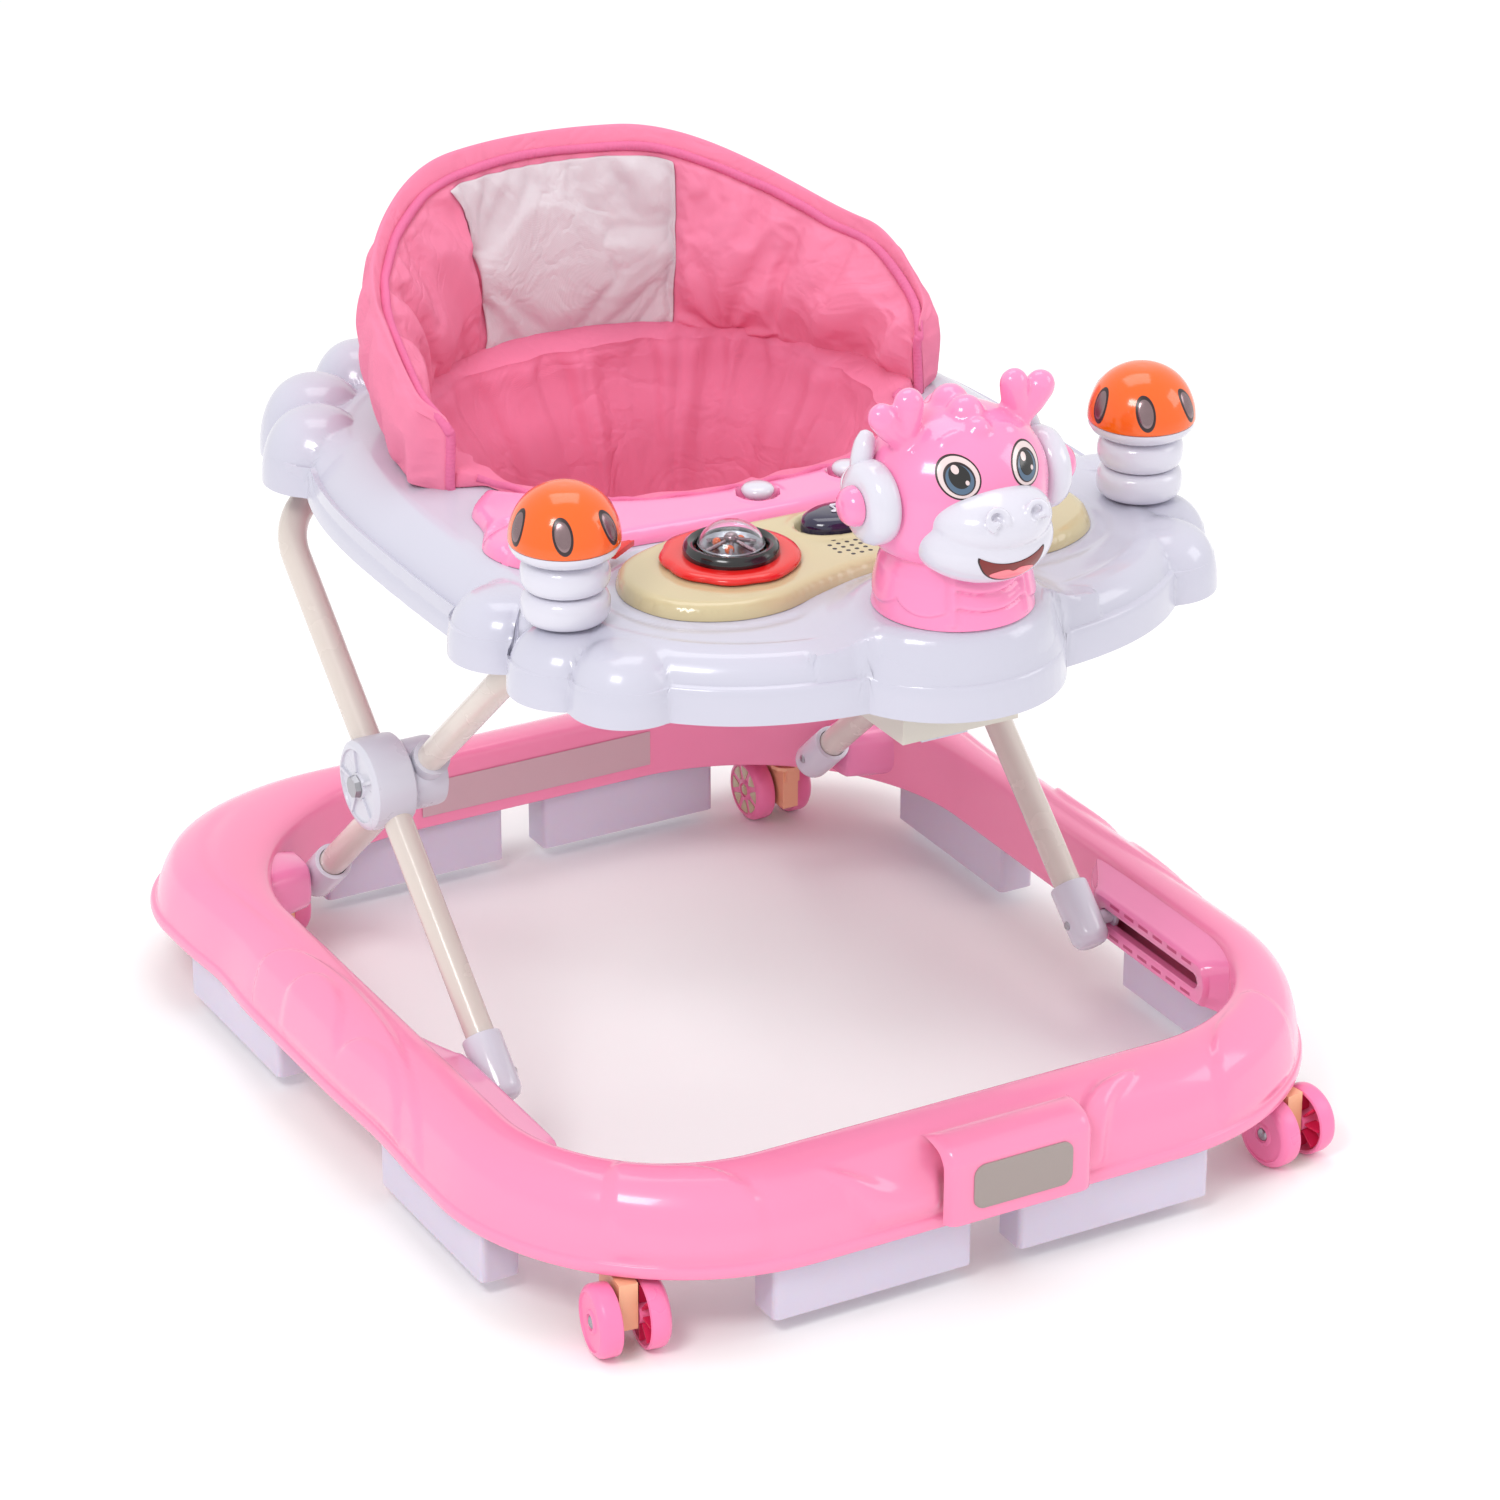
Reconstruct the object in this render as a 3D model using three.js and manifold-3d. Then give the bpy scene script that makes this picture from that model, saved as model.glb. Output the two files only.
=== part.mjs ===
// Folding baby walker: a ring base on four twin-wheel casters, a scissor frame of two bent tubes,
// a toy tray with a padded seat, and the toys on the tray.
// Millimetres. +X is right seen from the front, -Y is the front, +Z is up, and z = 0 is the floor.
import * as THREE from 'three';
import { mergeVertices } from 'three/addons/utils/BufferGeometryUtils.js';
import Module from 'manifold-3d';

const wasm = await Module();
wasm.setup();

// ---- Driving dimensions ----

const GAP = 0.3;
const SIDES = [['left', -1], ['right', 1]];
const ENDS = [['front', -1], ['rear', 1]];

const BASE = { half: 299, front: -338, rear: 352, cornerFront: 170, cornerRear: 105 };
const BASE_HOLE = { half: 254, front: -283, rear: 300, cornerFront: 110, cornerRear: 165 };
const BASE_RIM_Z = 50;
const BASE_INNER_Z = 54;
const BASE_CREST_Z = 106;

const PAD = { bottom: 12, top: 58, thick: 26.5, wall: 2.5, corner: 4 };
const WHEEL_R = 23;
const CASTERS = {
  front: { pivot: [236, -274], wheel: [239, -296] },
  rear: { pivot: [199, 281], wheel: [199, 303] },
};

const TUBE_R = 9.5;
const TUBE_BORE_R = 8.3;
const TUBE_BEND_R = 45;
const CAP_R = 13;
const PIN_R = 5;
const PIN_Z = 79;
const TRAY_PIVOT_Z = 359;
const REAR_PIVOT_Y = 225;
const FRONT_PIN_Y = -85;
const FOLDED_PIN_Y = -189;
const OUTER_LEG_X = 218;
const INNER_LEG_X = 193.5;
const ARM = Math.hypot(REAR_PIVOT_Y - FRONT_PIN_Y, TRAY_PIVOT_Z - PIN_Z);
const ARM_ANGLE = Math.atan2(TRAY_PIVOT_Z - PIN_Z, REAR_PIVOT_Y - FRONT_PIN_Y);
const HUB = [(REAR_PIVOT_Y + FRONT_PIN_Y) / 2, (TRAY_PIVOT_Z + PIN_Z) / 2];
const BOLT_R = 4;
const BOLT_BORE_SIDES = 8;
const BOLT_BORE_R = (BOLT_R + GAP) / Math.cos(Math.PI / BOLT_BORE_SIDES);

const SKIRT_Z = 375;
const DECK_Z = 414;
const TRAY_CENTRE_Y = 70;
const TRAY_BODY = { halfX: 235, front: 286, rear: 290, power: 3 };
const SEAT_HOLE = { halfX: 150, halfY: 136, y: 103, power: 2.6 };
const LOBES = [
  [-212, -100, 36], [-205, -165, 36], [-187, -205, 35],
  [-195, 205, 36], [-175, 250, 37], [-126, 286, 34],
];
const DRAGON = { y: -264, baseZ: 426, neckR: 51, headZ: 503 };
const TOY_Z = DECK_Z + GAP;
const BAND_TOP_Z = 423;
const PANEL_TOP_Z = 424;
const MUSHROOM = { x: 201, y: -156.5, postR: 9, ringR: 28, ringH: 19.6, capR: 35.5 };
const SEAT = { y: 105, innerR: 152, outerR: 170, flareR: 187, halfAngle: 105 };

const WHITE = 0xf3f2fa;
const PINK = 0xf79cc4;
const CREAM = 0xebdcb4;
const RED = 0xd8231c;

// ---- Small helpers ----

const rad = THREE.MathUtils.degToRad;
const vec = (x, y, z) => new THREE.Vector3(x, y, z);

// Keeps only the positions, merged, so that the mesh is closed along every edge.
function weld(geometry) {
  const bare = geometry.clone();
  bare.deleteAttribute('normal');
  bare.deleteAttribute('uv');
  return mergeVertices(bare, 1e-4);
}

function toSolid(geometry) {
  const bare = weld(geometry);
  return new wasm.Manifold(new wasm.Mesh({
    numProp: 3,
    vertProperties: new Float32Array(bare.attributes.position.array),
    triVerts: new Uint32Array(bare.index.array),
  }));
}

function toGeometry(solid) {
  const data = solid.getMesh();
  const geometry = new THREE.BufferGeometry();
  geometry.setAttribute('position', new THREE.BufferAttribute(data.vertProperties, 3));
  geometry.setIndex(new THREE.BufferAttribute(data.triVerts, 1));
  geometry.computeVertexNormals();
  return geometry;
}

function join(first, ...others) {
  return toGeometry(others.reduce((sum, part) => sum.add(toSolid(part)), toSolid(first)));
}

function cut(body, ...tools) {
  return toGeometry(tools.reduce((rest, tool) => rest.subtract(toSolid(tool)), toSolid(body)));
}

function box(x0, x1, y0, y1, z0, z1) {
  const shape = new THREE.BoxGeometry(x1 - x0, y1 - y0, z1 - z0);
  return shape.translate((x0 + x1) / 2, (y0 + y1) / 2, (z0 + z1) / 2);
}

// A round bar along +Z from z0 to z1.
function bar(radius, z0, z1, segments = 16) {
  const shape = new THREE.CylinderGeometry(radius, radius, z1 - z0, segments);
  return shape.rotateX(Math.PI / 2).translate(0, 0, (z0 + z1) / 2);
}

// A round bar along X, between two distances from the middle plane on one side.
function crossBar(radius, side, near, far, y, z, segments = 16) {
  const [x0, x1] = side < 0 ? [-far, -near] : [near, far];
  return bar(radius, x0, x1, segments).rotateY(Math.PI / 2).translate(0, y, z);
}

// Profile points are [radius, height] pairs, turned about +Z.
function turned(profile, segments = 16) {
  const points = profile.map(([r, h]) => new THREE.Vector2(r, h));
  return new THREE.LatheGeometry(points, segments).rotateX(Math.PI / 2);
}

function ball(rx, ry, rz, x, y, z, across = 14, down = 10) {
  const shape = new THREE.SphereGeometry(1, across, down).rotateX(Math.PI / 2);
  return shape.scale(rx, ry, rz).translate(x, y, z);
}

// A flat plate of any outline, with its edges bevelled.
function plate(outline, z0, z1, bevel = 0) {
  const geometry = new THREE.ExtrudeGeometry(new THREE.Shape(outline), {
    depth: z1 - z0 - 2 * bevel,
    bevelEnabled: bevel > 0,
    bevelSize: bevel,
    bevelOffset: -bevel,
    bevelThickness: bevel,
    bevelSegments: 1,
  });
  return geometry.translate(0, 0, z0 + bevel);
}

// Joins rows of points into one closed skin. Each row is a closed ring of the same length.
// The rows close on the first one, or end in flat caps.
function skin(rows, capped = false) {
  const width = rows[0].length;
  const positions = rows.flat().flatMap((p) => [p.x, p.y, p.z]);
  const index = [];
  const lastRow = capped ? rows.length - 1 : rows.length;
  for (let r = 0; r < lastRow; r += 1) {
    for (let i = 0; i < width; i += 1) {
      const a = r * width + i;
      const b = r * width + (i + 1) % width;
      const c = ((r + 1) % rows.length) * width + i;
      const d = ((r + 1) % rows.length) * width + (i + 1) % width;
      index.push(a, b, d, a, d, c);
    }
  }
  if (capped) {
    for (let i = 1; i < width - 1; i += 1) {
      const top = (rows.length - 1) * width;
      index.push(0, i + 1, i, top, top + i, top + i + 1);
    }
  }
  const geometry = new THREE.BufferGeometry();
  geometry.setAttribute('position', new THREE.Float32BufferAttribute(positions, 3));
  geometry.setIndex(signedVolume(positions, index) < 0 ? reversed(index) : index);
  geometry.computeVertexNormals();
  return geometry;
}

function signedVolume(positions, index) {
  const corner = (k) => vec(...positions.slice(3 * index[k], 3 * index[k] + 3));
  let sum = 0;
  for (let k = 0; k < index.length; k += 3) {
    sum += corner(k).dot(corner(k + 1).cross(corner(k + 2)));
  }
  return sum;
}

function reversed(index) {
  return index.map((_, k) => index[k - (k % 3) + 2 - (k % 3)]);
}

const model = new THREE.Group();
model.name = 'baby_walker';

function add(parent, name, geometry, color, roughness = 0.3, metalness = 0) {
  const material = new THREE.MeshStandardMaterial({ color, roughness, metalness });
  const mesh = new THREE.Mesh(geometry, material);
  mesh.name = name;
  parent.add(mesh);
  return mesh;
}

// ---- Base ----

const CORNER_STEPS = 5;

function roundedOutline({ half, front, rear, cornerFront, cornerRear }) {
  const corners = [
    [half - cornerFront, front + cornerFront, cornerFront, -90],
    [half - cornerRear, rear - cornerRear, cornerRear, 0],
    [cornerRear - half, rear - cornerRear, cornerRear, 90],
    [cornerFront - half, front + cornerFront, cornerFront, 180],
  ];
  const points = [];
  for (const [x, y, radius, start] of corners) {
    for (let i = 0; i <= CORNER_STEPS; i += 1) {
      const angle = rad(start + 90 * i / CORNER_STEPS);
      points.push(new THREE.Vector2(x + radius * Math.cos(angle), y + radius * Math.sin(angle)));
    }
  }
  return points;
}

// The base is a hollow moulding, open below: each pair is how far the line lies from the outer rim
// towards the hole's rim, as a fraction, and its height.
const BASE_PROFILE = [
  [0, BASE_RIM_Z], [0, 58], [0.05, 72], [0.16, 91], [0.38, 103], [0.62, BASE_CREST_Z], [0.88, 101],
  [0.985, 92], [1, BASE_INNER_Z], [0.93, BASE_INNER_Z], [0.91, 90], [0.6, 102.5], [0.4, 99.5],
  [0.21, 87], [0.08, 58], [0.06, BASE_RIM_Z],
];

function baseShell() {
  const outer = roundedOutline(BASE);
  const inner = roundedOutline(BASE_HOLE);
  const rows = BASE_PROFILE.map(([part, z]) => outer.map((point, i) => {
    const p = point.clone().lerp(inner[i], part);
    return vec(p.x, p.y, z);
  }));
  return skin(rows);
}

// The rail that each front foot's pin slides along when the frame folds.
const RAIL = { face: 234, plate: 237.2, y0: -208, y1: -64, z0: 62, z1: 95 };

function slideRail(side) {
  const [x0, x1] = side < 0 ? [-256, -RAIL.face] : [RAIL.face, 256];
  return box(x0, x1, RAIL.y0, RAIL.y1, RAIL.z0, RAIL.z1);
}

function slideSlot(side) {
  const [x0, x1] = side < 0 ? [-240, -RAIL.face + 2] : [RAIL.face - 2, 240];
  const room = PIN_R + 0.5;
  return box(x0, x1, FOLDED_PIN_Y - room, FRONT_PIN_Y + room, PIN_Z - room, PIN_Z + room);
}

function headRoom(side) {
  const [x0, x1] = side < 0 ? [-275, -RAIL.plate] : [RAIL.plate, 275];
  return box(x0, x1, RAIL.y0 + 4, RAIL.y1 - 4, PIN_Z - 10, PIN_Z + 10);
}

function casterBoss(side, end) {
  const [x, y] = CASTERS[end].pivot;
  return bar(11, BASE_RIM_Z + 4.5, 101.5, 8).translate(side * x, y, 0);
}

function casterBore(side, end) {
  const [x, y] = CASTERS[end].pivot;
  return bar(4.6, 40, 82, 8).translate(side * x, y, 0);
}

const FRONT_PLATE = { x: 5, half: 52, y: -350, z0: 56, z1: 106 };

function frontPlateBlock() {
  const { x, half, y, z0, z1 } = FRONT_PLATE;
  const profile = [[y, z0], [y, 96], [y + 6, z1 - 2], [-312, z1 + 2], [-312, 102.5], [-322, 95.5], [-329, 86],
    [-334, 66], [-335, z0]];
  const row = (px) => profile.map(([py, pz]) => vec(px, py, pz));
  return skin([row(x - half), row(x + half)], true);
}

function baseRing() {
  const additions = [frontPlateBlock()];
  const tools = [];
  for (const [, side] of SIDES) {
    additions.push(slideRail(side));
    additions.push(crossBar(17, side, 207.6, 234, REAR_PIVOT_Y, PIN_Z));
    tools.push(slideSlot(side), headRoom(side));
    tools.push(crossBar(PIN_R + 0.3, side, 200, 222.6, REAR_PIVOT_Y, PIN_Z, 12));
    for (const [end] of ENDS) {
      additions.push(casterBoss(side, end));
      tools.push(casterBore(side, end));
    }
  }
  return cut(join(baseShell(), ...additions), ...tools);
}

add(model, 'base_ring', baseRing(), PINK, 0.2);

function badge() {
  const outline = new THREE.Path();
  const [half, high, corner] = [35, 15, 7];
  outline.absarc(half - corner, -high + corner, corner, -Math.PI / 2, 0);
  outline.absarc(half - corner, high - corner, corner, 0, Math.PI / 2);
  outline.absarc(-half + corner, high - corner, corner, Math.PI / 2, Math.PI);
  outline.absarc(-half + corner, -high + corner, corner, Math.PI, 1.5 * Math.PI);
  return plate(outline.getPoints(3), 0, 2, 0.5);
}

const badgeMesh = add(model, 'front_badge', badge(), 0x9a8f8c, 0.35);
badgeMesh.rotation.x = Math.PI / 2;
badgeMesh.position.set(FRONT_PLATE.x, FRONT_PLATE.y - GAP, 79);

// ---- Brake pads: open boxes whose tops sit inside the base's channel ----

function roundedBox(length, thick, z0, z1, corner) {
  const outline = new THREE.Path();
  const [x, y] = [length / 2 - corner, thick / 2 - corner];
  outline.absarc(x, -y, corner, -Math.PI / 2, 0);
  outline.absarc(x, y, corner, 0, Math.PI / 2);
  outline.absarc(-x, y, corner, Math.PI / 2, Math.PI);
  outline.absarc(-x, -y, corner, Math.PI, 1.5 * Math.PI);
  return plate(outline.getPoints(2), z0, z1);
}

function brakePad(length) {
  const { bottom, top, thick, wall, corner } = PAD;
  const outside = roundedBox(length, thick, bottom, top, corner);
  return cut(outside, roundedBox(length - 2 * wall, thick - 2 * wall, bottom + 3, top + 5, corner - wall));
}

const PADS = {
  front: { length: 139, x: 86.5, y: -316.7 },
  back: { length: 137, x: 84.5, y: 320 },
  side_front: { length: 142, x: 276.5, y: -135 },
  side_rear: { length: 140.5, x: 276.5, y: 160 },
};

for (const [place, { length, x, y }] of Object.entries(PADS)) {
  for (const [sideName, side] of SIDES) {
    const pad = add(model, `brake_pad_${place}_${sideName}`, brakePad(length), WHITE, 0.45);
    pad.position.set(side * x, y, 0);
    pad.rotation.z = place.startsWith('side') ? Math.PI / 2 : 0;
  }
}

// ---- Casters ----

// The fork stands at its swivel axis with the wheels trailing along +X by the caster's offset.
function casterFork(trail) {
  const stem = bar(4, 47, 80, 8);
  const flange = bar(12, 47, 49.7, 12);
  const arm = box(-7, trail + 6, -6, 6, 16, 47.5);
  const web = box(-11, trail - 2, -5, 5, 38, 47.5);
  const axleHole = bar(3.4, -20, 20, 12).rotateX(Math.PI / 2).translate(trail, 0, WHEEL_R);
  return cut(join(stem, flange, arm, web), axleHole);
}

// Two dished wheels on one axle, hollow on the sides that face each other.
function wheelPair() {
  const half = [[3, 7], [6.5, 7], [6.5, 19.5], [19.5, 19.5], [20.4, 8.5], [22.6, 8.5], [WHEEL_R, 19],
    [19.5, 22.5], [0, 23]];
  const mirrored = [...half].reverse().map(([r, along]) => [r, -along]);
  return turned([...mirrored, ...half], 12);
}

for (const [end] of ENDS) {
  for (const [sideName, side] of SIDES) {
    const { pivot, wheel } = CASTERS[end];
    const offset = new THREE.Vector2(side * (wheel[0] - pivot[0]), wheel[1] - pivot[1]);
    const caster = new THREE.Group();
    caster.position.set(side * pivot[0], pivot[1], 0);
    caster.rotation.z = offset.angle();
    model.add(caster);
    const trail = offset.length();
    add(caster, `caster_fork_${end}_${sideName}`, casterFork(trail), 0xf7c39c, 0.4);
    const wheels = add(caster, `caster_wheels_${end}_${sideName}`, wheelPair(), 0xf5709f, 0.4);
    wheels.position.set(trail, 0, WHEEL_R);
    wheels.rotation.x = Math.PI / 2;
  }
}

// ---- Folding frame ----

// A curve through given points, straight between them, that is sampled only at those points.
class Route extends THREE.Curve {
  constructor(points) {
    super();
    this.points = points;
  }

  getPoint(t) {
    const place = t * (this.points.length - 1);
    const start = Math.min(Math.floor(place), this.points.length - 2);
    return this.points[start].clone().lerp(this.points[start + 1], place - start);
  }

  getPointAt(t) {
    return this.getPoint(t);
  }

  getTangentAt(t) {
    const last = this.points.length - 1;
    const here = Math.round(t * last);
    const ahead = this.points[Math.min(here + 1, last)];
    return ahead.clone().sub(this.points[Math.max(here - 1, 0)]).normalize();
  }
}

// One U of bent tube: up one side, across under the tray and down the other side.
function legRoute(legX, foot, direction) {
  const BEND_STEPS = 5;
  const at = (x, along) => vec(x, foot[0] + direction.x * along, foot[1] + direction.y * along);
  const half = [at(legX, -7), at(legX, ARM / 2 - 12)];
  for (let i = 0; i <= BEND_STEPS; i += 1) {
    const angle = rad(90 * i / BEND_STEPS);
    const inward = TUBE_BEND_R * (1 - Math.cos(angle));
    half.push(at(legX - inward, ARM - TUBE_BEND_R * (1 - Math.sin(angle))));
  }
  const mirrored = [...half].reverse().map((p) => vec(-p.x, p.y, p.z));
  return new Route([...half, ...mirrored]);
}

function tube(route) {
  const section = new THREE.Shape().absarc(0, 0, TUBE_R, 0, 2 * Math.PI);
  section.holes.push(new THREE.Path().absarc(0, 0, TUBE_BORE_R, 0, 2 * Math.PI, true));
  return new THREE.ExtrudeGeometry(section, {
    extrudePath: route,
    steps: route.points.length - 1,
    curveSegments: 5,
    bevelEnabled: false,
  });
}

const ARMS = {
  front: {
    legX: OUTER_LEG_X,
    foot: [FRONT_PIN_Y, PIN_Z],
    direction: new THREE.Vector2(Math.cos(ARM_ANGLE), Math.sin(ARM_ANGLE)),
  },
  rear: {
    legX: INNER_LEG_X,
    foot: [REAR_PIVOT_Y, PIN_Z],
    direction: new THREE.Vector2(-Math.cos(ARM_ANGLE), Math.sin(ARM_ANGLE)),
  },
};

// Turns +Z onto an arm's direction.
function armTilt({ direction }) {
  return Math.atan2(-direction.x, direction.y);
}

function legFrame(arm) {
  const boltHole = bar(BOLT_BORE_R, -300, 300, BOLT_BORE_SIDES).rotateY(Math.PI / 2).translate(0, ...HUB);
  return cut(tube(legRoute(arm.legX, arm.foot, arm.direction)), boltHole);
}

add(model, 'front_leg_frame', legFrame(ARMS.front), 0xe4d9d3, 0.25);
add(model, 'rear_leg_frame', legFrame(ARMS.rear), 0xe4d9d3, 0.25);

// A cap over the tube's lower end, with the pin that turns or slides in the base's side wall.
function footCap(side, end) {
  const bore = TUBE_R + 2 * GAP;
  const sleeve = turned([[0, -17], [9, -17], [CAP_R, -12], [CAP_R, 27], [bore, 27], [bore, -8], [0, -8]], 12);
  const pinEnd = end === 'front' ? RAIL.plate + 1.4 - OUTER_LEG_X : 222 - INNER_LEG_X;
  const pin = crossBar(PIN_R, side, CAP_R - 2, pinEnd, 0, 0, 10);
  if (end === 'rear') {
    return join(sleeve, pin);
  }
  return join(sleeve, pin, crossBar(8, side, pinEnd - 0.5, pinEnd + 3, 0, 0, 10));
}

for (const [end] of ENDS) {
  for (const [sideName, side] of SIDES) {
    const arm = ARMS[end];
    const cap = add(model, `foot_cap_${end}_${sideName}`, footCap(side, end), WHITE, 0.35);
    cap.position.set(side * arm.legX, ...arm.foot);
    cap.rotation.x = armTilt(arm);
  }
}

// Hub halves clamp the two arms where they cross, and a bolt joins them.
function hubHalf(side, arm, radius, near, far) {
  const tunnel = bar(TUBE_R + 2 * GAP, -60, 60, 10).rotateX(armTilt(arm)).translate(side * arm.legX, ...HUB);
  const disc = crossBar(radius, side, near, far, ...HUB, 16);
  return cut(disc, tunnel, crossBar(BOLT_BORE_R, side, near - 5, far + 5, ...HUB, BOLT_BORE_SIDES));
}

function hubBolt() {
  const head = BOLT_R * 2;
  return turned([[0, 176], [head, 176], [head, 180.4], [BOLT_R, 180.4], [BOLT_R, 236.6],
    [head, 236.6], [head - 1, 240], [0, 240]], 8);
}

for (const [sideName, side] of SIDES) {
  add(model, `hub_outer_${sideName}`, hubHalf(side, ARMS.front, 30, 206.8, 236.3), WHITE, 0.3);
  add(model, `hub_inner_${sideName}`, hubHalf(side, ARMS.rear, 23, 180.7, 205.4), WHITE, 0.3);
  const bolt = add(model, `hub_bolt_${sideName}`, hubBolt(), 0xb9b9bd, 0.3, 0.9);
  bolt.position.set(0, ...HUB);
  bolt.rotation.y = side * Math.PI / 2;
}

// ---- Tray ----

function insideOval(x, y, { halfX, front, rear, power }) {
  const halfY = y < 0 ? front : rear;
  return Math.abs(x / halfX) ** power + Math.abs(y / halfY) ** power < 1;
}

function insideTray(x, y) {
  const folded = -Math.abs(x);
  return insideOval(x, y, TRAY_BODY)
    || LOBES.some(([cx, cy, r]) => Math.hypot(folded - cx, y - cy) < r)
    || Math.hypot(x, y + 250) < 76;
}

function insideSeatHole(x, y) {
  const { halfX, halfY, y: middle, power } = SEAT_HOLE;
  return insideOval(x, y - middle, { halfX, front: halfY, rear: halfY, power });
}

// How far an outline lies from the tray's centre in one direction.
function reach(angle, inside) {
  let [near, far] = [0, 500];
  while (far - near > 0.01) {
    const middle = (near + far) / 2;
    if (inside(middle * Math.cos(angle), TRAY_CENTRE_Y + middle * Math.sin(angle))) {
      near = middle;
    } else {
      far = middle;
    }
  }
  return near;
}

// The deck rises in the three clouds at each rear corner.
function cloudRise(x, y) {
  const clouds = LOBES.slice(3).map(([cx, cy]) => 1 - (Math.hypot(-Math.abs(x) - cx, y - cy) / 27) ** 2);
  return 14 * Math.max(0, ...clouds);
}

// Each row of the tray's skin: distance in from the outer edge, or in from the hole's edge, and height.
const TRAY_ROWS = [
  { out: 0, z: SKIRT_Z }, { out: 1.5, z: 400 }, { out: 6, z: 402 }, { out: 11, z: 408.5 },
  { out: 20, z: DECK_Z, cloud: true }, { out: 32, z: DECK_Z }, { hole: -4, z: DECK_Z },
  { hole: 0, z: DECK_Z - 3 }, { hole: 0, z: 397 }, { hole: -3, z: 397 }, { hole: -4, z: DECK_Z - 3.2 },
  { out: 32, z: DECK_Z - 3 }, { out: 22, z: DECK_Z - 3, cloud: true }, { out: 14, z: 405.5 },
  { out: 9, z: 399 }, { out: 5, z: 397 }, { out: 3, z: SKIRT_Z },
];

function trayShell() {
  const STEPS = 64;
  const angles = Array.from({ length: STEPS }, (_, i) => 2 * Math.PI * (i + 0.5) / STEPS);
  const edges = angles.map((angle) => [reach(angle, insideTray), reach(angle, insideSeatHole)]);
  const rows = TRAY_ROWS.map((row) => angles.map((angle, i) => {
    const [outer, hole] = edges[i];
    const distance = row.hole === undefined ? Math.max(outer - row.out, hole + 8) : hole - row.hole;
    const x = distance * Math.cos(angle);
    const y = TRAY_CENTRE_Y + distance * Math.sin(angle);
    return vec(x, y, row.z + (row.cloud ? cloudRise(x, y) : 0));
  }));
  return skin(rows);
}

function mushroomPost(side) {
  return bar(MUSHROOM.postR, DECK_Z - 6, 468, 12).translate(side * MUSHROOM.x, MUSHROOM.y, 0);
}

// A clip under the tray that the front frame's crossbar turns in.
function pivotClip(side) {
  const [x0, x1] = side < 0 ? [-160, -141] : [141, 160];
  return box(x0, x1, REAR_PIVOT_Y - 14, REAR_PIVOT_Y + 14, TRAY_PIVOT_Z - 14, DECK_Z - 0.5);
}

function tray() {
  const pivotBore = bar(TUBE_R + GAP, -170, 170).rotateY(Math.PI / 2);
  pivotBore.translate(0, REAR_PIVOT_Y, TRAY_PIVOT_Z);
  const podium = turned([[0, 411.3], [67, 411.3], [65, 419], [58, DRAGON.baseZ], [0, DRAGON.baseZ]], 28);
  podium.translate(0, DRAGON.y, 0);
  const parts = SIDES.flatMap(([, side]) => [mushroomPost(side), pivotClip(side)]);
  return cut(join(trayShell(), podium, ...parts), pivotBore);
}

add(model, 'tray_shell', tray(), WHITE, 0.2);

// The track under the tray's front, which the rear frame's crossbar slides along.
function heightTrack() {
  const block = box(-40, 40, -276, -62, 345, DECK_Z - 3 - GAP);
  const hollow = box(-35, 35, -272, -67, 340, 404);
  const slot = box(-50, 50, FOLDED_PIN_Y - 11, FRONT_PIN_Y + 11, TRAY_PIVOT_Z - 10.2, TRAY_PIVOT_Z + 10.2);
  return cut(block, hollow, slot);
}

add(model, 'height_track', heightTrack(), CREAM, 0.4);

// The pull that frees the frame, with a grip below and a tongue inside the track.
function heightLatch() {
  const tongue = box(-22, 22, -262, -216, 346, 350);
  const grip = box(-16, 16, -258, -238, 334, 347);
  return join(tongue, grip);
}

add(model, 'height_latch', heightLatch(), RED, 0.35);

// ---- Toys on the tray ----

const BOW = [
  [0, -93], [-60, -92], [-104, -94], [-142, -112], [-158, -148], [-148, -184], [-118, -205],
  [-84, -208], [-46, -195], [0, -186],
];

function mirroredOutline(half, steps) {
  const inner = half.slice(1, -1).reverse().map(([x, y]) => [-x, y]);
  const points = [...half, ...inner].map(([x, y]) => vec(x, y, 0));
  return new THREE.CatmullRomCurve3(points, true).getPoints(steps).slice(0, -1)
    .map((p) => new THREE.Vector2(p.x, p.y));
}

// The pressed buttons sit in blind wells, with room below them for their travel.
const WELL_GAP = 0.4;
const BAND_BUTTON = { r: 10.8, wellZ: 415.7, bottomZ: 418.5, topZ: 429 };
const BAND_BUTTONS = { left: [-16, -58], right: [51, -54] };
const MUSIC_KEY = { x: 4, y: -124, r: 17, stretch: 1.5, wellZ: 416, bottomZ: 418.5, topZ: 432.5 };

function keyWell() {
  const well = bar(MUSIC_KEY.r + WELL_GAP, MUSIC_KEY.wellZ, PANEL_TOP_Z + 5, 20);
  return well.scale(MUSIC_KEY.stretch, 1, 1).translate(MUSIC_KEY.x, MUSIC_KEY.y, 0);
}

function toyPanel() {
  return cut(plate(mirroredOutline(BOW, 40), TOY_Z, PANEL_TOP_Z, 3), keyWell());
}

add(model, 'toy_panel', toyPanel(), CREAM, 0.25);

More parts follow.
